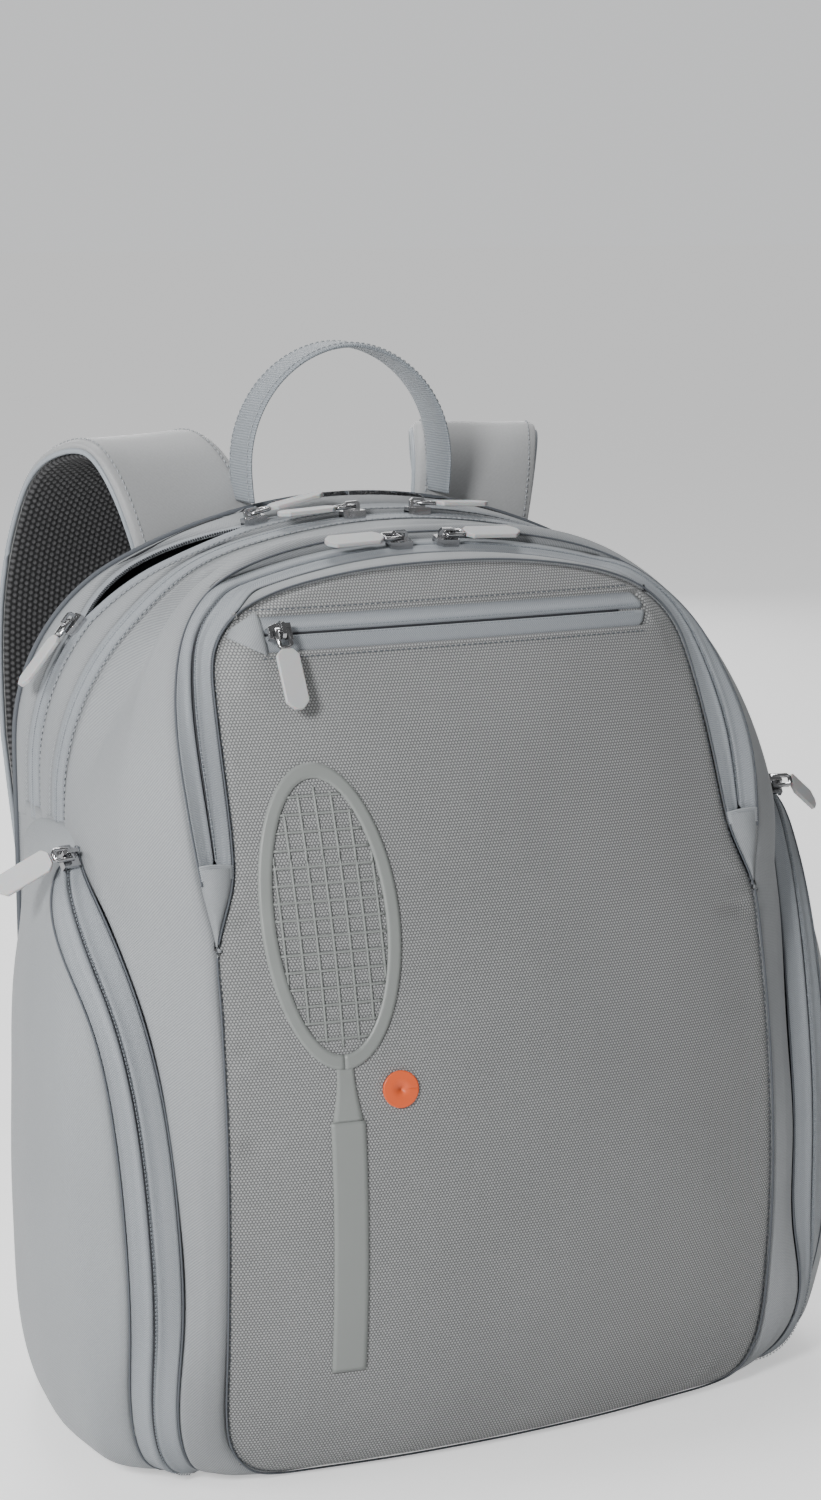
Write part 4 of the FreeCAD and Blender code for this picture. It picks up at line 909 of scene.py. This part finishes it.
def seam_line(name, points, radius=0.55):
    """Piping that shows as the dark line of a seam, in the dark thread's colour: partly the seam's thread,
    partly painted shadow in the seam's gap.
    """
    parts = Parts()
    parts.tube(resample(points, 2.0), radius, 6)
    return parts.make(name, mats=(thread,), slot="shell_fabric")


def topstitch(name, points, away, mat=None, lift=0.3, **kw):
    """A visible row of stitches."""
    parts = Parts()
    stitches(parts, points, away, lift=lift, **kw)
    return parts.make(name, mats=(mat or pale_thread,), slot="shell_fabric")


closed_zip("main_zip", main_line, UPPER, main_front, main_rear, "_coil_thread", ("main_zip_chain",))
closed_zip("front_zip", front_line, top_band, front_in, front_out, "_coil_thread", ("front_zip_chain",))
half_tape("racket_zip_front_tape", racket_front, racket_front_in, UPPER, replaces=("racket_zip_chain",))
half_tape("racket_zip_rear_tape", racket_rear, racket_rear_in, UPPER)
# painted shade: the rear teeth are the same coil as the front teeth, painted near-black for the shade they
# stand in
for name, edge_line, sign, mat in (("front", racket_front_in, -1, coil_plastic),
                                   ("rear", racket_rear_in, 1, gap_shade_paint)):
    p, _, over, away = frames(edge_line, UPPER)
    over = np.where((over[:, 1:2] * sign) > 0, over, -over)
    parts = Parts()
    run = lengths(p)
    for at in np.arange(1, run[-1] - 1, 1.3):
        a, o, w = (sample(q, run, at) for q in (p, over, away))
        parts.tube(np.array([a + o * 1.6 - w * 0.4, a + w * 0.25, a - o * 0.5 - w * 0.5]), 0.45, 5)
    parts.tube(resample(p + over * 1.5 + away * 0.2, 2.0), 0.5, 6)
    parts.make(f"racket_zip_{name}_teeth", mats=(mat,), slot="zip_tape")

seam_line("front_seam_piping", seam(ALL) + unit(seam(ALL) - CENTRE) * -0.2)
seam_line("band_seam_piping", band_edge(top_band) + unit(band_edge(top_band) - CENTRE) * -0.2)
seam_line("rear_seam_piping", rear_seam(ALL) + unit((rear_seam(ALL) - CENTRE) * [1, 0, 1]) * 0.6, 1.5)
p, _, over, away = frames(seam, ring_samples(-0.86, 0.86, 2.0))
over = np.where(over[:, 1:2] < 0, over, -over)
topstitch("front_seam_stitches", on_panel(*(p + over * 2.4)[:, [0, 2]].T)[0], away, thread, 0.2)
for name, line, amount in (("main_front", main_front, -2.2), ("main_rear", main_rear, 2.2),
                           ("racket_front", racket_front, -2.0), ("racket_rear", racket_rear, 2.2)):
    p, _, _, away = frames(shifted(line, along_y(amount)), UPPER)
    topstitch(name + "_stitches", p, away, lift=0.1)


# ---------------------------------------------------------------- straight zip on the front
LEFT_END, RIGHT_END, TAPE_DEEP = -110.0, 107.0, 8.0
xs = np.linspace(LEFT_END, RIGHT_END, 120)
for name, sign in (("lower", -1), ("upper", 1)):
    rows = []
    for t in TAPE_ROWS:
        z = ZIP_Z + sign * (8.3 - (8.3 - 0.3) * t)
        round_end = 6.0 * (1 - math.sqrt(max(0.0, 1 - ((1 - t) * 0.98) ** 2)))
        shrunk = LEFT_END + (xs - LEFT_END) * (RIGHT_END - round_end - LEFT_END) / (RIGHT_END - LEFT_END)
        d = TAPE_DEEP * (1 - t)
        h = 0.35 + 0.9 * math.exp(-((d - 2.2) / 1.7) ** 2) - 1.2 * math.exp(-(d / 0.45) ** 2)
        p, n = on_panel(shrunk, np.full_like(shrunk, z))
        rows.append(p + n * (h - 1.1))
    grid = np.array(rows)
    piece = solid(f"front_pocket_zip_{name}_tape", grid, 0.8, (tape_cloth,), slot="zip_tape",
                  replaces=("front_pocket_zip_chain",) if sign < 0 else ())
    # painted shade: the tape is darker at the coil gap and along its sewn edge
    d = TAPE_DEEP * (1 - TAPE_ROWS)
    mark = np.exp(-(d / 0.6) ** 2) + np.exp(-((TAPE_DEEP - d) / 1.2) ** 2)
    mark = np.repeat(np.clip(mark, 0, 1), len(xs))
    mark_seam_shade(piece, np.r_[mark, mark])
p, n = on_panel(xs[2:-8], np.full_like(xs[2:-8], ZIP_Z))
parts = Parts()
# painted shade: the coil in the gap is near-black
parts.tube(resample(p - n * 1.9, 2.0), 0.8, 8)
parts.make("front_pocket_zip_coil", mats=(gap_shade_paint,), slot="zip_tape")
dots = Parts()
for dz in (-COIL_ROW, COIL_ROW):
    p, n = on_panel(xs[2:-3], np.full_like(xs[2:-3], ZIP_Z + dz))
    stitches(dots, p, n, COIL_STEP, 1.2, 0.26, 0.1)
dots.make("front_pocket_zip_thread", mats=(coil_plastic,), slot="zip_tape")
for name, dz in (("lower", -11.2), ("upper", 11.0)):
    x = np.linspace(LEFT_END + 2, RIGHT_END - 2, 100)
    p, n = on_panel(x, np.full_like(x, ZIP_Z + dz))
    topstitch(f"front_pocket_{name}_stitches", p, n, thread, 0.1, pitch=3.0)
rows = []
for t in np.linspace(0, 1, 10):
    half = 9.0 * (1 - t) + 1.0
    z = ZIP_Z + np.linspace(-half, half, 12)
    x = np.full_like(z, LEFT_END + 5 - 17 * t)
    p, n = on_panel(np.maximum(x, -np.interp(z, SIDE_Z, SIDE_X) + 2), z, 0.7)
    rows.append(p)
sewn("front_pocket_zip_patch", np.array(rows), 1.0, (pocket_cloth,), slot="shell_fabric")


# ---------------------------------------------------------------- side pockets
# Lines up the right side pocket from its front edge to the back, each from the base to the top.
POCKET = [
    [(158, -50, 4), (174, -56, 6), (186, -60, 14), (192, -62, 30), (197, -73, 82), (198, -73, 134),
     (200, -66, 186), (205, -46, 238), (211, -14, 285), (206, -8, 301), (190, -4, 314)],
    [(170, -38, 4), (190, -43, 6), (203, -47, 14), (209, -50, 30), (216, -54, 82), (219, -52, 134),
     (219, -44, 192), (214, -24, 246), (207, 6, 292), (202, 8, 306), (188, 8, 317)],
    [(176, 0, 4), (194, 0, 6), (206, 0, 14), (212, 0, 28), (220, -5, 84), (222, -2, 138),
     (220, 4, 192), (213, 18, 246), (202, 32, 288), (198, 34, 304), (187, 34, 316)],
    [(172, 50, 4), (188, 50, 6), (200, 50, 14), (206, 50, 28), (213, 52, 84), (213, 54, 138),
     (210, 56, 192), (205, 60, 246), (197, 62, 285), (194, 62, 302), (187, 62, 314)],
    [(160, 97, 4), (176, 98, 6), (187, 98, 14), (192, 98, 26), (195, 98, 86), (193, 98, 142),
     (191, 98, 200), (190, 98, 254), (187.6, 98, 290), (187, 98, 300), (184, 98, 309)],
]
TAPE_TOP = 312.0  # where a side zip's tape ends
heights = np.r_[np.linspace(0, 0.12, 12)[:-1], np.linspace(0.12, 0.86, 60)[:-1], np.linspace(0.86, 1, 16)]
for side, sign in (("left", -1), ("right", 1)):
    flip = np.array([sign, 1, 1])
    rails = []
    for points in POCKET:
        q = np.array(points, float)
        run = lengths(q)
        rails.append(spline(run / run[-1], q * flip))
    grid = relax(across(rails, heights, [9, 9, 9, 9]), 5)
    for k in range(4):
        grid[:, 1:-1] = (grid[:, :-2] + 2 * grid[:, 1:-1] + grid[:, 2:]) / 4
    sewn(f"side_pocket_{side}_skin", cloth(grid, roll=1.4, reach=2.4, belly=1.0, slack=0.8, ends=(1, 0.6)),
         2.0, (pocket_cloth, lining_cloth), slot="shell_fabric", replaces=(f"side_pocket_{side}",))
    zs = np.r_[np.linspace(5, 30, 10)[:-1], np.linspace(30, TAPE_TOP, 80)]
    front = grid[0]
    s_low = np.linspace(sign * 0.98, sign * 0.40, 900)
    ring = pocket_edge(s_low)
    line_a = lambda z: sample(ring, ring[:, 2], z)
    line_b = lambda z: sample(front, front[:, 2], z)

    def middle(z):
        a, b = line_a(z), line_b(z)
        m = (a + b) / 2
        n = unit(m - CENTRE)
        return m + n * 1.6 * np.ones_like(z)[..., None]

    def edged(line, other):
        return lambda z: line(z) + unit(other(z) - line(z)) * 0.8

    closed_zip(f"side_zip_{side}", middle, zs, edged(line_a, line_b), edged(line_b, line_a), "_thread",
               (f"side_zip_chain_{side}",))
    seam_line(f"side_pocket_{side}_front_piping", line_a(zs))
    seam_line(f"side_pocket_{side}_rear_piping", line_b(zs))


# ---------------------------------------------------------------- back
s = np.r_[np.linspace(0.004, 0.12, 14)[:-1], np.linspace(0.12, 0.86, 110)[:-1],
          np.linspace(0.86, 0.985, 16)]
left, right = rear_seam(-s), rear_seam(s)
cols = np.linspace(0, 1, 120)
grid = left[:, None] + (right - left)[:, None] * cols[None, :, None]
rim = rim_distance(grid[..., [0, 2]], rear_seam(np.linspace(-1, 1, 600))[:, [0, 2]])
swell = 8 * (1 - np.exp(-(rim / 12) ** 2)) - 1.2 * np.exp(-(rim / 2.4) ** 2)
channel = 5.0 * np.exp(-(grid[..., 0] / 13) ** 4) * ease((rim - 14) / 20)  # air channel down the middle
grid[..., 1] = REAR[0] + swell - channel + ripple(grid, 0.35) * np.minimum(rim / 12, 1)
piece = solid("back_panel_skin", grid, 2.0, (pocket_cloth, lining_cloth), slot="shell_fabric",
              uv=np.stack([grid[..., 0], grid[..., 2]], -1), replaces=("back_panel",))
# painted shade: the back panel is darker near its seam
edge = np.exp(-(rim / 4) ** 2)
mark_seam_shade(piece, np.r_[edge.ravel(), edge.ravel()])


def plain_copy(node):
    """The welded vertices and faces of a CAD node, in metres."""
    bm = bmesh.new()
    bm.from_mesh(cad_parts[node].data)
    bmesh.ops.remove_doubles(bm, verts=bm.verts, dist=2e-6)
    bmesh.ops.recalc_face_normals(bm, faces=bm.faces)
    verts = np.array([v.co[:] for v in bm.verts])
    faces = [[v.index for v in f.verts] for f in bm.faces]
    bm.free()
    return verts, faces


def hardware(node, body, mat, slot, bevel, segments=2, shift=(0, 0, 0), shrink=1.0):
    """A CAD part with softened edges."""
    verts, faces = plain_copy(node)
    heart = np.array([0, 0, 0.2])
    verts = heart + (verts - heart) * [shrink, 1, shrink]
    piece = make(node + "_shown", verts / MM + np.array(shift, float), faces, body=body, slot=slot,
                 mats=(mat,), replaces=(node,))
    if bevel:
        m = piece.modifiers.new("soften", "BEVEL")
        m.width, m.segments, m.limit_method, m.angle_limit = bevel * MM, segments, "ANGLE", math.radians(25)
    smooth = piece.modifiers.new("planes", "WEIGHTED_NORMAL")
    smooth.keep_sharp = True
    return piece


def puffed(node, mat, cell, pressure, cap):
    """A stuffed pad: its CAD shape blown up by a short cloth simulation."""
    verts, faces = plain_copy(node)
    mesh = bpy.data.meshes.new(node + "_mesh")
    mesh.from_pydata(verts.tolist(), [], faces)
    piece = bpy.data.objects.new(node + "_skin", mesh)
    bpy.context.scene.collection.objects.link(piece)
    remesh = piece.modifiers.new("remesh", "REMESH")
    remesh.mode, remesh.voxel_size, remesh.use_smooth_shade = "VOXEL", cell * MM, True
    bpy.context.view_layer.update()
    graph = bpy.context.evaluated_depsgraph_get()
    fresh = bpy.data.meshes.new_from_object(piece.evaluated_get(graph))
    piece.modifiers.clear()
    piece.data = fresh
    start = np.array([v.co[:] for v in fresh.vertices])
    sim = piece.modifiers.new("cloth", "CLOTH")
    settings = sim.settings
    settings.quality, settings.mass, settings.use_pressure = 6, 0.3, True
    settings.uniform_pressure_force = pressure
    settings.tension_stiffness = settings.compression_stiffness = 12
    settings.effector_weights.gravity = 0
    sim.point_cache.frame_start, sim.point_cache.frame_end = 1, 20
    for f in range(1, 21):
        bpy.context.scene.frame_set(f)
    graph = bpy.context.evaluated_depsgraph_get()
    blown = bpy.data.meshes.new_from_object(piece.evaluated_get(graph))
    end = np.array([v.co[:] for v in blown.vertices])
    bpy.context.scene.frame_set(1)
    piece.modifiers.clear()
    move = end - start
    far = np.linalg.norm(move, axis=1, keepdims=True)
    move *= np.minimum(1, cap * MM / np.maximum(far, 1e-9))
    start = start + move
    piece.data.vertices.foreach_set("co", start.astype(np.float32).ravel())
    mesh = piece.data
    mesh.materials.clear()
    mesh.materials.append(mat)
    layer = mesh.uv_layers.new(name="weave")
    loops = np.zeros(len(mesh.loops), np.int32)
    mesh.loops.foreach_get("vertex_index", loops)
    layer.data.foreach_set("uv", start[loops][:, [0, 2]].astype(np.float32).ravel())
    mesh.polygons.foreach_set("use_smooth", [True] * len(mesh.polygons))
    rounder = piece.modifiers.new("round", "SMOOTH")
    rounder.factor, rounder.iterations = 0.5, 6
    sub = piece.modifiers.new("fine", "SUBSURF")
    sub.levels = sub.render_levels = 1
    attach(piece, "bag")
    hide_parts(node)
    PIECES[piece.name] = piece
    return piece


for side in ("left", "right"):
    puffed(f"back_pad_{side}", mesh_cloth, 5.0, 4.0, 3.0)


# ---------------------------------------------------------------- straps and handle
def ribbon(route, step=4.0):
    """Smooth centre line, half widths and width directions along a list of stations."""
    p = np.array([r[:3] for r in route], float)
    t = lengths(p)
    fine = np.linspace(0, t[-1], max(8, int(t[-1] / step)))
    runs = np.array([r[4] for r in route], float)
    return spline(t, p)(fine), np.interp(fine, t, [r[3] for r in route]), unit(spline(t, runs)(fine))


def swept(name, centre, half, run, thick, mats, lift=0.0, puff=0.5, body="bag", **kw):
    """A flat strap with rounded edges, its section a superellipse."""
    along = unit(np.gradient(centre, axis=0))
    run = unit(run - along * (run * along).sum(-1, keepdims=True))
    n = np.cross(along, run)
    n = -n if n[np.argmax(centre[:, 1]), 1] < 0 else n
    a = np.linspace(0, 2 * math.pi, 40, endpoint=False)
    ca, sa = np.cos(a), np.sin(a)
    wide = np.sign(ca) * np.abs(ca) ** 0.35
    tall = np.sign(sa) * np.abs(sa) ** (1 - puff * 0.3)
    rings = (centre[:, None] + run[:, None] * (wide[None, :, None] * half[:, None, None])
             + n[:, None] * (tall[None, :, None] * thick / 2 + lift))
    rows, sides = rings.shape[:2]
    run_length = lengths(centre)
    uv = np.stack([np.broadcast_to(run_length[:, None], (rows, sides)),
                   wide[None] * half[:, None]], -1).reshape(-1, 2)
    piece = make(name, rings.reshape(-1, 3), tube_faces(rows, sides), mats=mats, uvs=uv, body=body, **kw)
    return piece, run, n


def edge_rope(name, centre, half, run, n, lift, radius, mat, body="bag", slot="strap_fabric"):
    parts = Parts()
    for k in (-1, 1):
        parts.tube(centre + run * (half * k)[:, None] + n * lift, radius, 8)
    return parts.make(name, mats=(mat,), body=body, slot=slot)


# Shoulder strap and its webbing on the right: x, y, z, half width, direction of the width.
STRAP = [(76, 114, 424, 35, (1, 0, 0)), (86, 121, 464, 35, (1, 0, 0)), (100, 148, 492, 35, (1, 0, 0)),
         (112, 174, 484, 35, (1, 0.1, -0.2)), (121, 194, 452, 35, (1, 0.1, -0.3)),
         (126, 206, 400, 35, (1, 0.1, -0.2)), (127, 208, 330, 35, (1, 0, -0.1)),
         (128, 198, 260, 30.1, (1, 0, 0)), (130, 180, 200, 21, (1, 0, 0))]
WEB = [(130, 164, 168, 12.5, (1, 0, 0)), (132, 152, 140, 12.5, (1, 0, 0)),
       (136, 135, 100, 12.5, (1, 0, 0)), (142, 118.5, 62, 12.5, (1, 0, 0))]
ADJUSTER_IN = 29.5  # how far the visible straps hang inboard of the frame's


for side, sign in (("left", -1), ("right", 1)):
    flip = lambda route: [(sign * x, y, z, h, (r[0], sign * r[1], sign * r[2])) for x, y, z, h, r in route]
    centre, half, run = ribbon(flip(STRAP), 3.0)
    out, run2, n = swept(f"strap_foam_{side}_skin", centre, half, run, 8.4, (satin,), lift=0.6, puff=1,
                         slot="strap_fabric", replaces=(f"strap_foam_{side}",))
    under, _, _ = swept(f"strap_mesh_{side}_skin", centre, half - 1.5, run, 5.0, (mesh_cloth,), lift=-4.6,
                        puff=1, slot="spacer_mesh", replaces=(f"strap_mesh_{side}",))
    edge_rope(f"strap_edge_{side}", centre, half, run2, n, -2.0, 1.5, web_cloth)
    for k in (-1, 1):
        row = centre + run2 * ((half - 4.5) * k)[:, None] + n * 4.5
        topstitch(f"strap_stitches_{side}_{'inner' if k * sign < 0 else 'outer'}", row, n, lift=0.15)
    centre, half, run = ribbon(flip(WEB), 3.0)
    swept(f"strap_webbing_{side}_skin", centre, half, run, 1.8, (web_cloth,), puff=0, slot="webbing",
          replaces=(f"strap_webbing_{side}",))
    hardware(f"strap_adjuster_{side}", "bag", buckle, "buckle", 0.6, shift=(-sign * ADJUSTER_IN, 0, 0))

# The handle's left half from its root to the top: x, z.
HANDLE = [(-57, 463.6), (-58, 489.6), (-45, 521.6), (-22, 539.6), (0, 544.6)]
HANDLE_Y, HANDLE_HALF, HANDLE_MIDDLE = 108, 14.5, 480
route = [(x, HANDLE_Y, z, HANDLE_HALF, (0, 1, 0))
         for x, z in HANDLE + [(-x, z) for x, z in HANDLE[-2::-1]]]
centre, half, run = ribbon(route, 2.5)
_, run2, n = swept("grab_handle_skin", centre, half, run, 3.0, (web_cloth,), puff=0, body="handle",
                   slot="webbing", replaces=("grab_handle",))
along = unit(np.gradient(centre, axis=0))
outward = unit(np.cross(run2, along))
from_middle = centre - np.array([0, HANDLE_Y, HANDLE_MIDDLE])
outward = np.where((outward * from_middle).sum(-1, keepdims=True) > 0, outward, -outward)
for k in (-1, 1):
    parts = Parts()
    stitches(parts, centre + run2 * (11.6 * k) + outward * 1.5, outward, lift=0.1)
    parts.make(f"handle_stitches_{'front' if k < 0 else 'rear'}", body="handle", mats=(pale_thread,),
               slot="webbing")


# ---------------------------------------------------------------- sliders and pulls
for f in ("racket_left", "racket_right", "main_left", "main_right", "front_left", "front_right",
          "front_pocket", "side_left", "side_right"):
    hardware(f"{f}_slider", f"{f}_slider", chrome, "slider_metal", 0.5, 3)
    hardware(f"{f}_ring", f"{f}_slider" if f.startswith("side") else f"{f}_pull", chrome, "slider_metal", 0)
    hardware(f"{f}_pull", f"{f}_pull", rubber, "pull_rubber", 0.6, 3)


# ---------------------------------------------------------------- emblem
def patch_on_panel(name, outline_rows, mat, slot, lift=1.1, **kw):
    flat = np.array(outline_rows, float)
    p, n = on_panel(flat[..., 0], flat[..., 1], lift)
    return solid(name, p, 1.4, (mat,), slot=slot, **kw)


a = np.linspace(math.pi, 3 * math.pi, 90)  # starts under the throat
EX, EZ = -94.0, 282.0
# Racket head as rings from its rim inwards, then the grip and the throat.
head = [[(EX + 34 * k * math.sin(q), EZ + 71 * k2 * math.cos(q)) for q in a]
        for k, k2 in ((1.0, 1.0), (0.95, 0.975), (0.86, 0.93), (0.80, 0.90))]
patch_on_panel("emblem_head", head, film, "emblem", replaces=("raised_emblem",))
shaft = [[(EX + w, z) for z in np.linspace(60, 186, 60)] for w in np.linspace(-8.5, 8.5, 8)]
throat = [[(EX + w * (1 - 0.45 * math.sin(math.pi * (z - 186) / 52)), z) for z in np.linspace(186, 215, 14)]
          for w in np.linspace(-7.5, 7.5, 6)]
patch_on_panel("emblem_grip", shaft, film, "emblem")
patch_on_panel("emblem_throat", throat, film, "emblem", 0.9)
strings = Parts()
for dx in np.arange(-24, 25, 8.0):
    top = 60 * math.sqrt(max(0.0, 1 - (dx / 27.5) ** 2))
    if top > 8:
        z = np.linspace(EZ - top, EZ + top, 40)
        strings.tube(on_panel(np.full_like(z, EX + dx), z, 0.4)[0], 0.7, 6)
for dz in np.arange(-56, 57, 8.0):
    reach = 27.0 * math.sqrt(max(0.0, 1 - (dz / 64) ** 2))
    if reach > 6:
        x = np.linspace(EX - reach, EX + reach, 20)
        strings.tube(on_panel(x, np.full_like(x, EZ + dz), 0.4)[0], 0.7, 6)
strings.make("emblem_strings", mats=(film,), slot="emblem")
low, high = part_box("emblem_ball")
BX, BZ, BR = (low[0] + high[0]) / 2 / MM, (low[2] + high[2]) / 2 / MM, (high[0] - low[0]) / 2 / MM
ball = [[(BX + BR * k * math.cos(q), BZ + BR * k * math.sin(q)) for q in np.linspace(0, 2 * math.pi, 50)]
        for k in (1.0, 0.93, 0.6, 0.02)]
patch_on_panel("emblem_ball_skin", ball, orange, "accent", 1.5, replaces=("emblem_ball",))


# ---------------------------------------------------------------- inside
inner_cloth = plain("inner_cloth", (0.03, 0.032, 0.037), 0.8, grain=1400.0)
for node, mat, slot, shrink in (("racket_divider", inner_cloth, "lining_fabric", 0.95),
                                ("main_divider", inner_cloth, "lining_fabric", 0.93),
                                ("laptop_sleeve", inner_cloth, "lining_fabric", 0.98),
                                ("base_board", board, "board", 0.96)):
    hardware(node, "bag", mat, slot, 0, shrink=shrink)


# ---------------------------------------------------------------- camera and light
def aim(kind, name, place, target, **settings):
    """A camera or a square light that looks at a point."""
    data = bpy.data.cameras.new(name) if kind == "camera" else bpy.data.lights.new(name, "AREA")
    for key, value in settings.items():
        setattr(data, key, value)
    o = bpy.data.objects.new(name, data)
    bpy.context.scene.collection.objects.link(o)
    o.location = place
    o.rotation_euler = (Vector(target) - Vector(place)).to_track_quat("-Z", "Y").to_euler()
    return o


az, el, roll = math.radians(25.7), math.radians(10.5), math.radians(-0.25)
back = Vector((-math.sin(az) * math.cos(el), -math.cos(az) * math.cos(el), math.sin(el)))
right = Vector((math.cos(az), -math.sin(az), 0))
up = back.cross(right)
r2 = right * math.cos(roll) + up * math.sin(roll)
u2 = up * math.cos(roll) - right * math.sin(roll)
camera = aim("camera", "camera", (0, 0, 0), (0, 1, 0), lens=70.2, sensor_width=36.0, clip_start=0.05)
turn = Matrix((r2, u2, back)).transposed().to_4x4()
camera.matrix_world = Matrix.Translation(Vector((-11.5, 0, 343.4)) * MM + back * 1.4958) @ turn
bpy.context.scene.camera = camera

aim("light", "key", (-1.25, -1.05, 1.05), (-0.05, 0, 0.32), energy=29, size=0.35)
aim("light", "side", (-2.4, 0.5, 1.3), (0, 0, 0.3), energy=26, size=0.9)
aim("light", "fill", (1.2, -2.6, 1.4), (0, 0, 0.25), energy=5, size=1.6)
aim("light", "top", (0.2, 0.8, 2.8), (0, 0, 0.3), energy=40, size=1.2)
aim("light", "rear", (0.6, 2.6, 1.2), (0, 0, 0.3), energy=24, size=2.0)

def seen_brighter(tree, socket, lit, seen):
    """The stage looks brighter to the camera than it lights the bag."""
    rays, strength = tree.nodes.new("ShaderNodeLightPath"), tree.nodes.new("ShaderNodeMapRange")
    strength.inputs["To Min"].default_value = lit
    strength.inputs["To Max"].default_value = seen
    tree.links.new(rays.outputs["Is Camera Ray"], strength.inputs["Value"])
    tree.links.new(strength.outputs[0], socket)


world = bpy.data.worlds.new("world")
bpy.context.scene.world = world
world.use_nodes = True
backdrop = world.node_tree.nodes["Background"]
backdrop.inputs["Color"].default_value = (0.95, 0.96, 0.97, 1)
seen_brighter(world.node_tree, backdrop.inputs["Strength"], 0.16, 0.8)
floor_paint = plain("floor_paint", (0.90, 0.90, 0.90), 0.6, grain=60.0, spread=0.01,
                    Emission_Color=(1, 1, 1, 1))
floor_nodes = floor_paint.node_tree
seen_brighter(floor_nodes, floor_nodes.nodes["Principled BSDF"].inputs["Emission Strength"], 0.0, 0.62)
mesh = bpy.data.meshes.new("floor")
mesh.from_pydata([(-40, -40, 0), (40, -40, 0), (40, 40, 0), (-40, 40, 0)], [], [(0, 1, 2, 3)])
mesh.materials.append(floor_paint)
floor = bpy.data.objects.new("floor", mesh)
bpy.context.scene.collection.objects.link(floor)

bpy.context.view_layer.update()
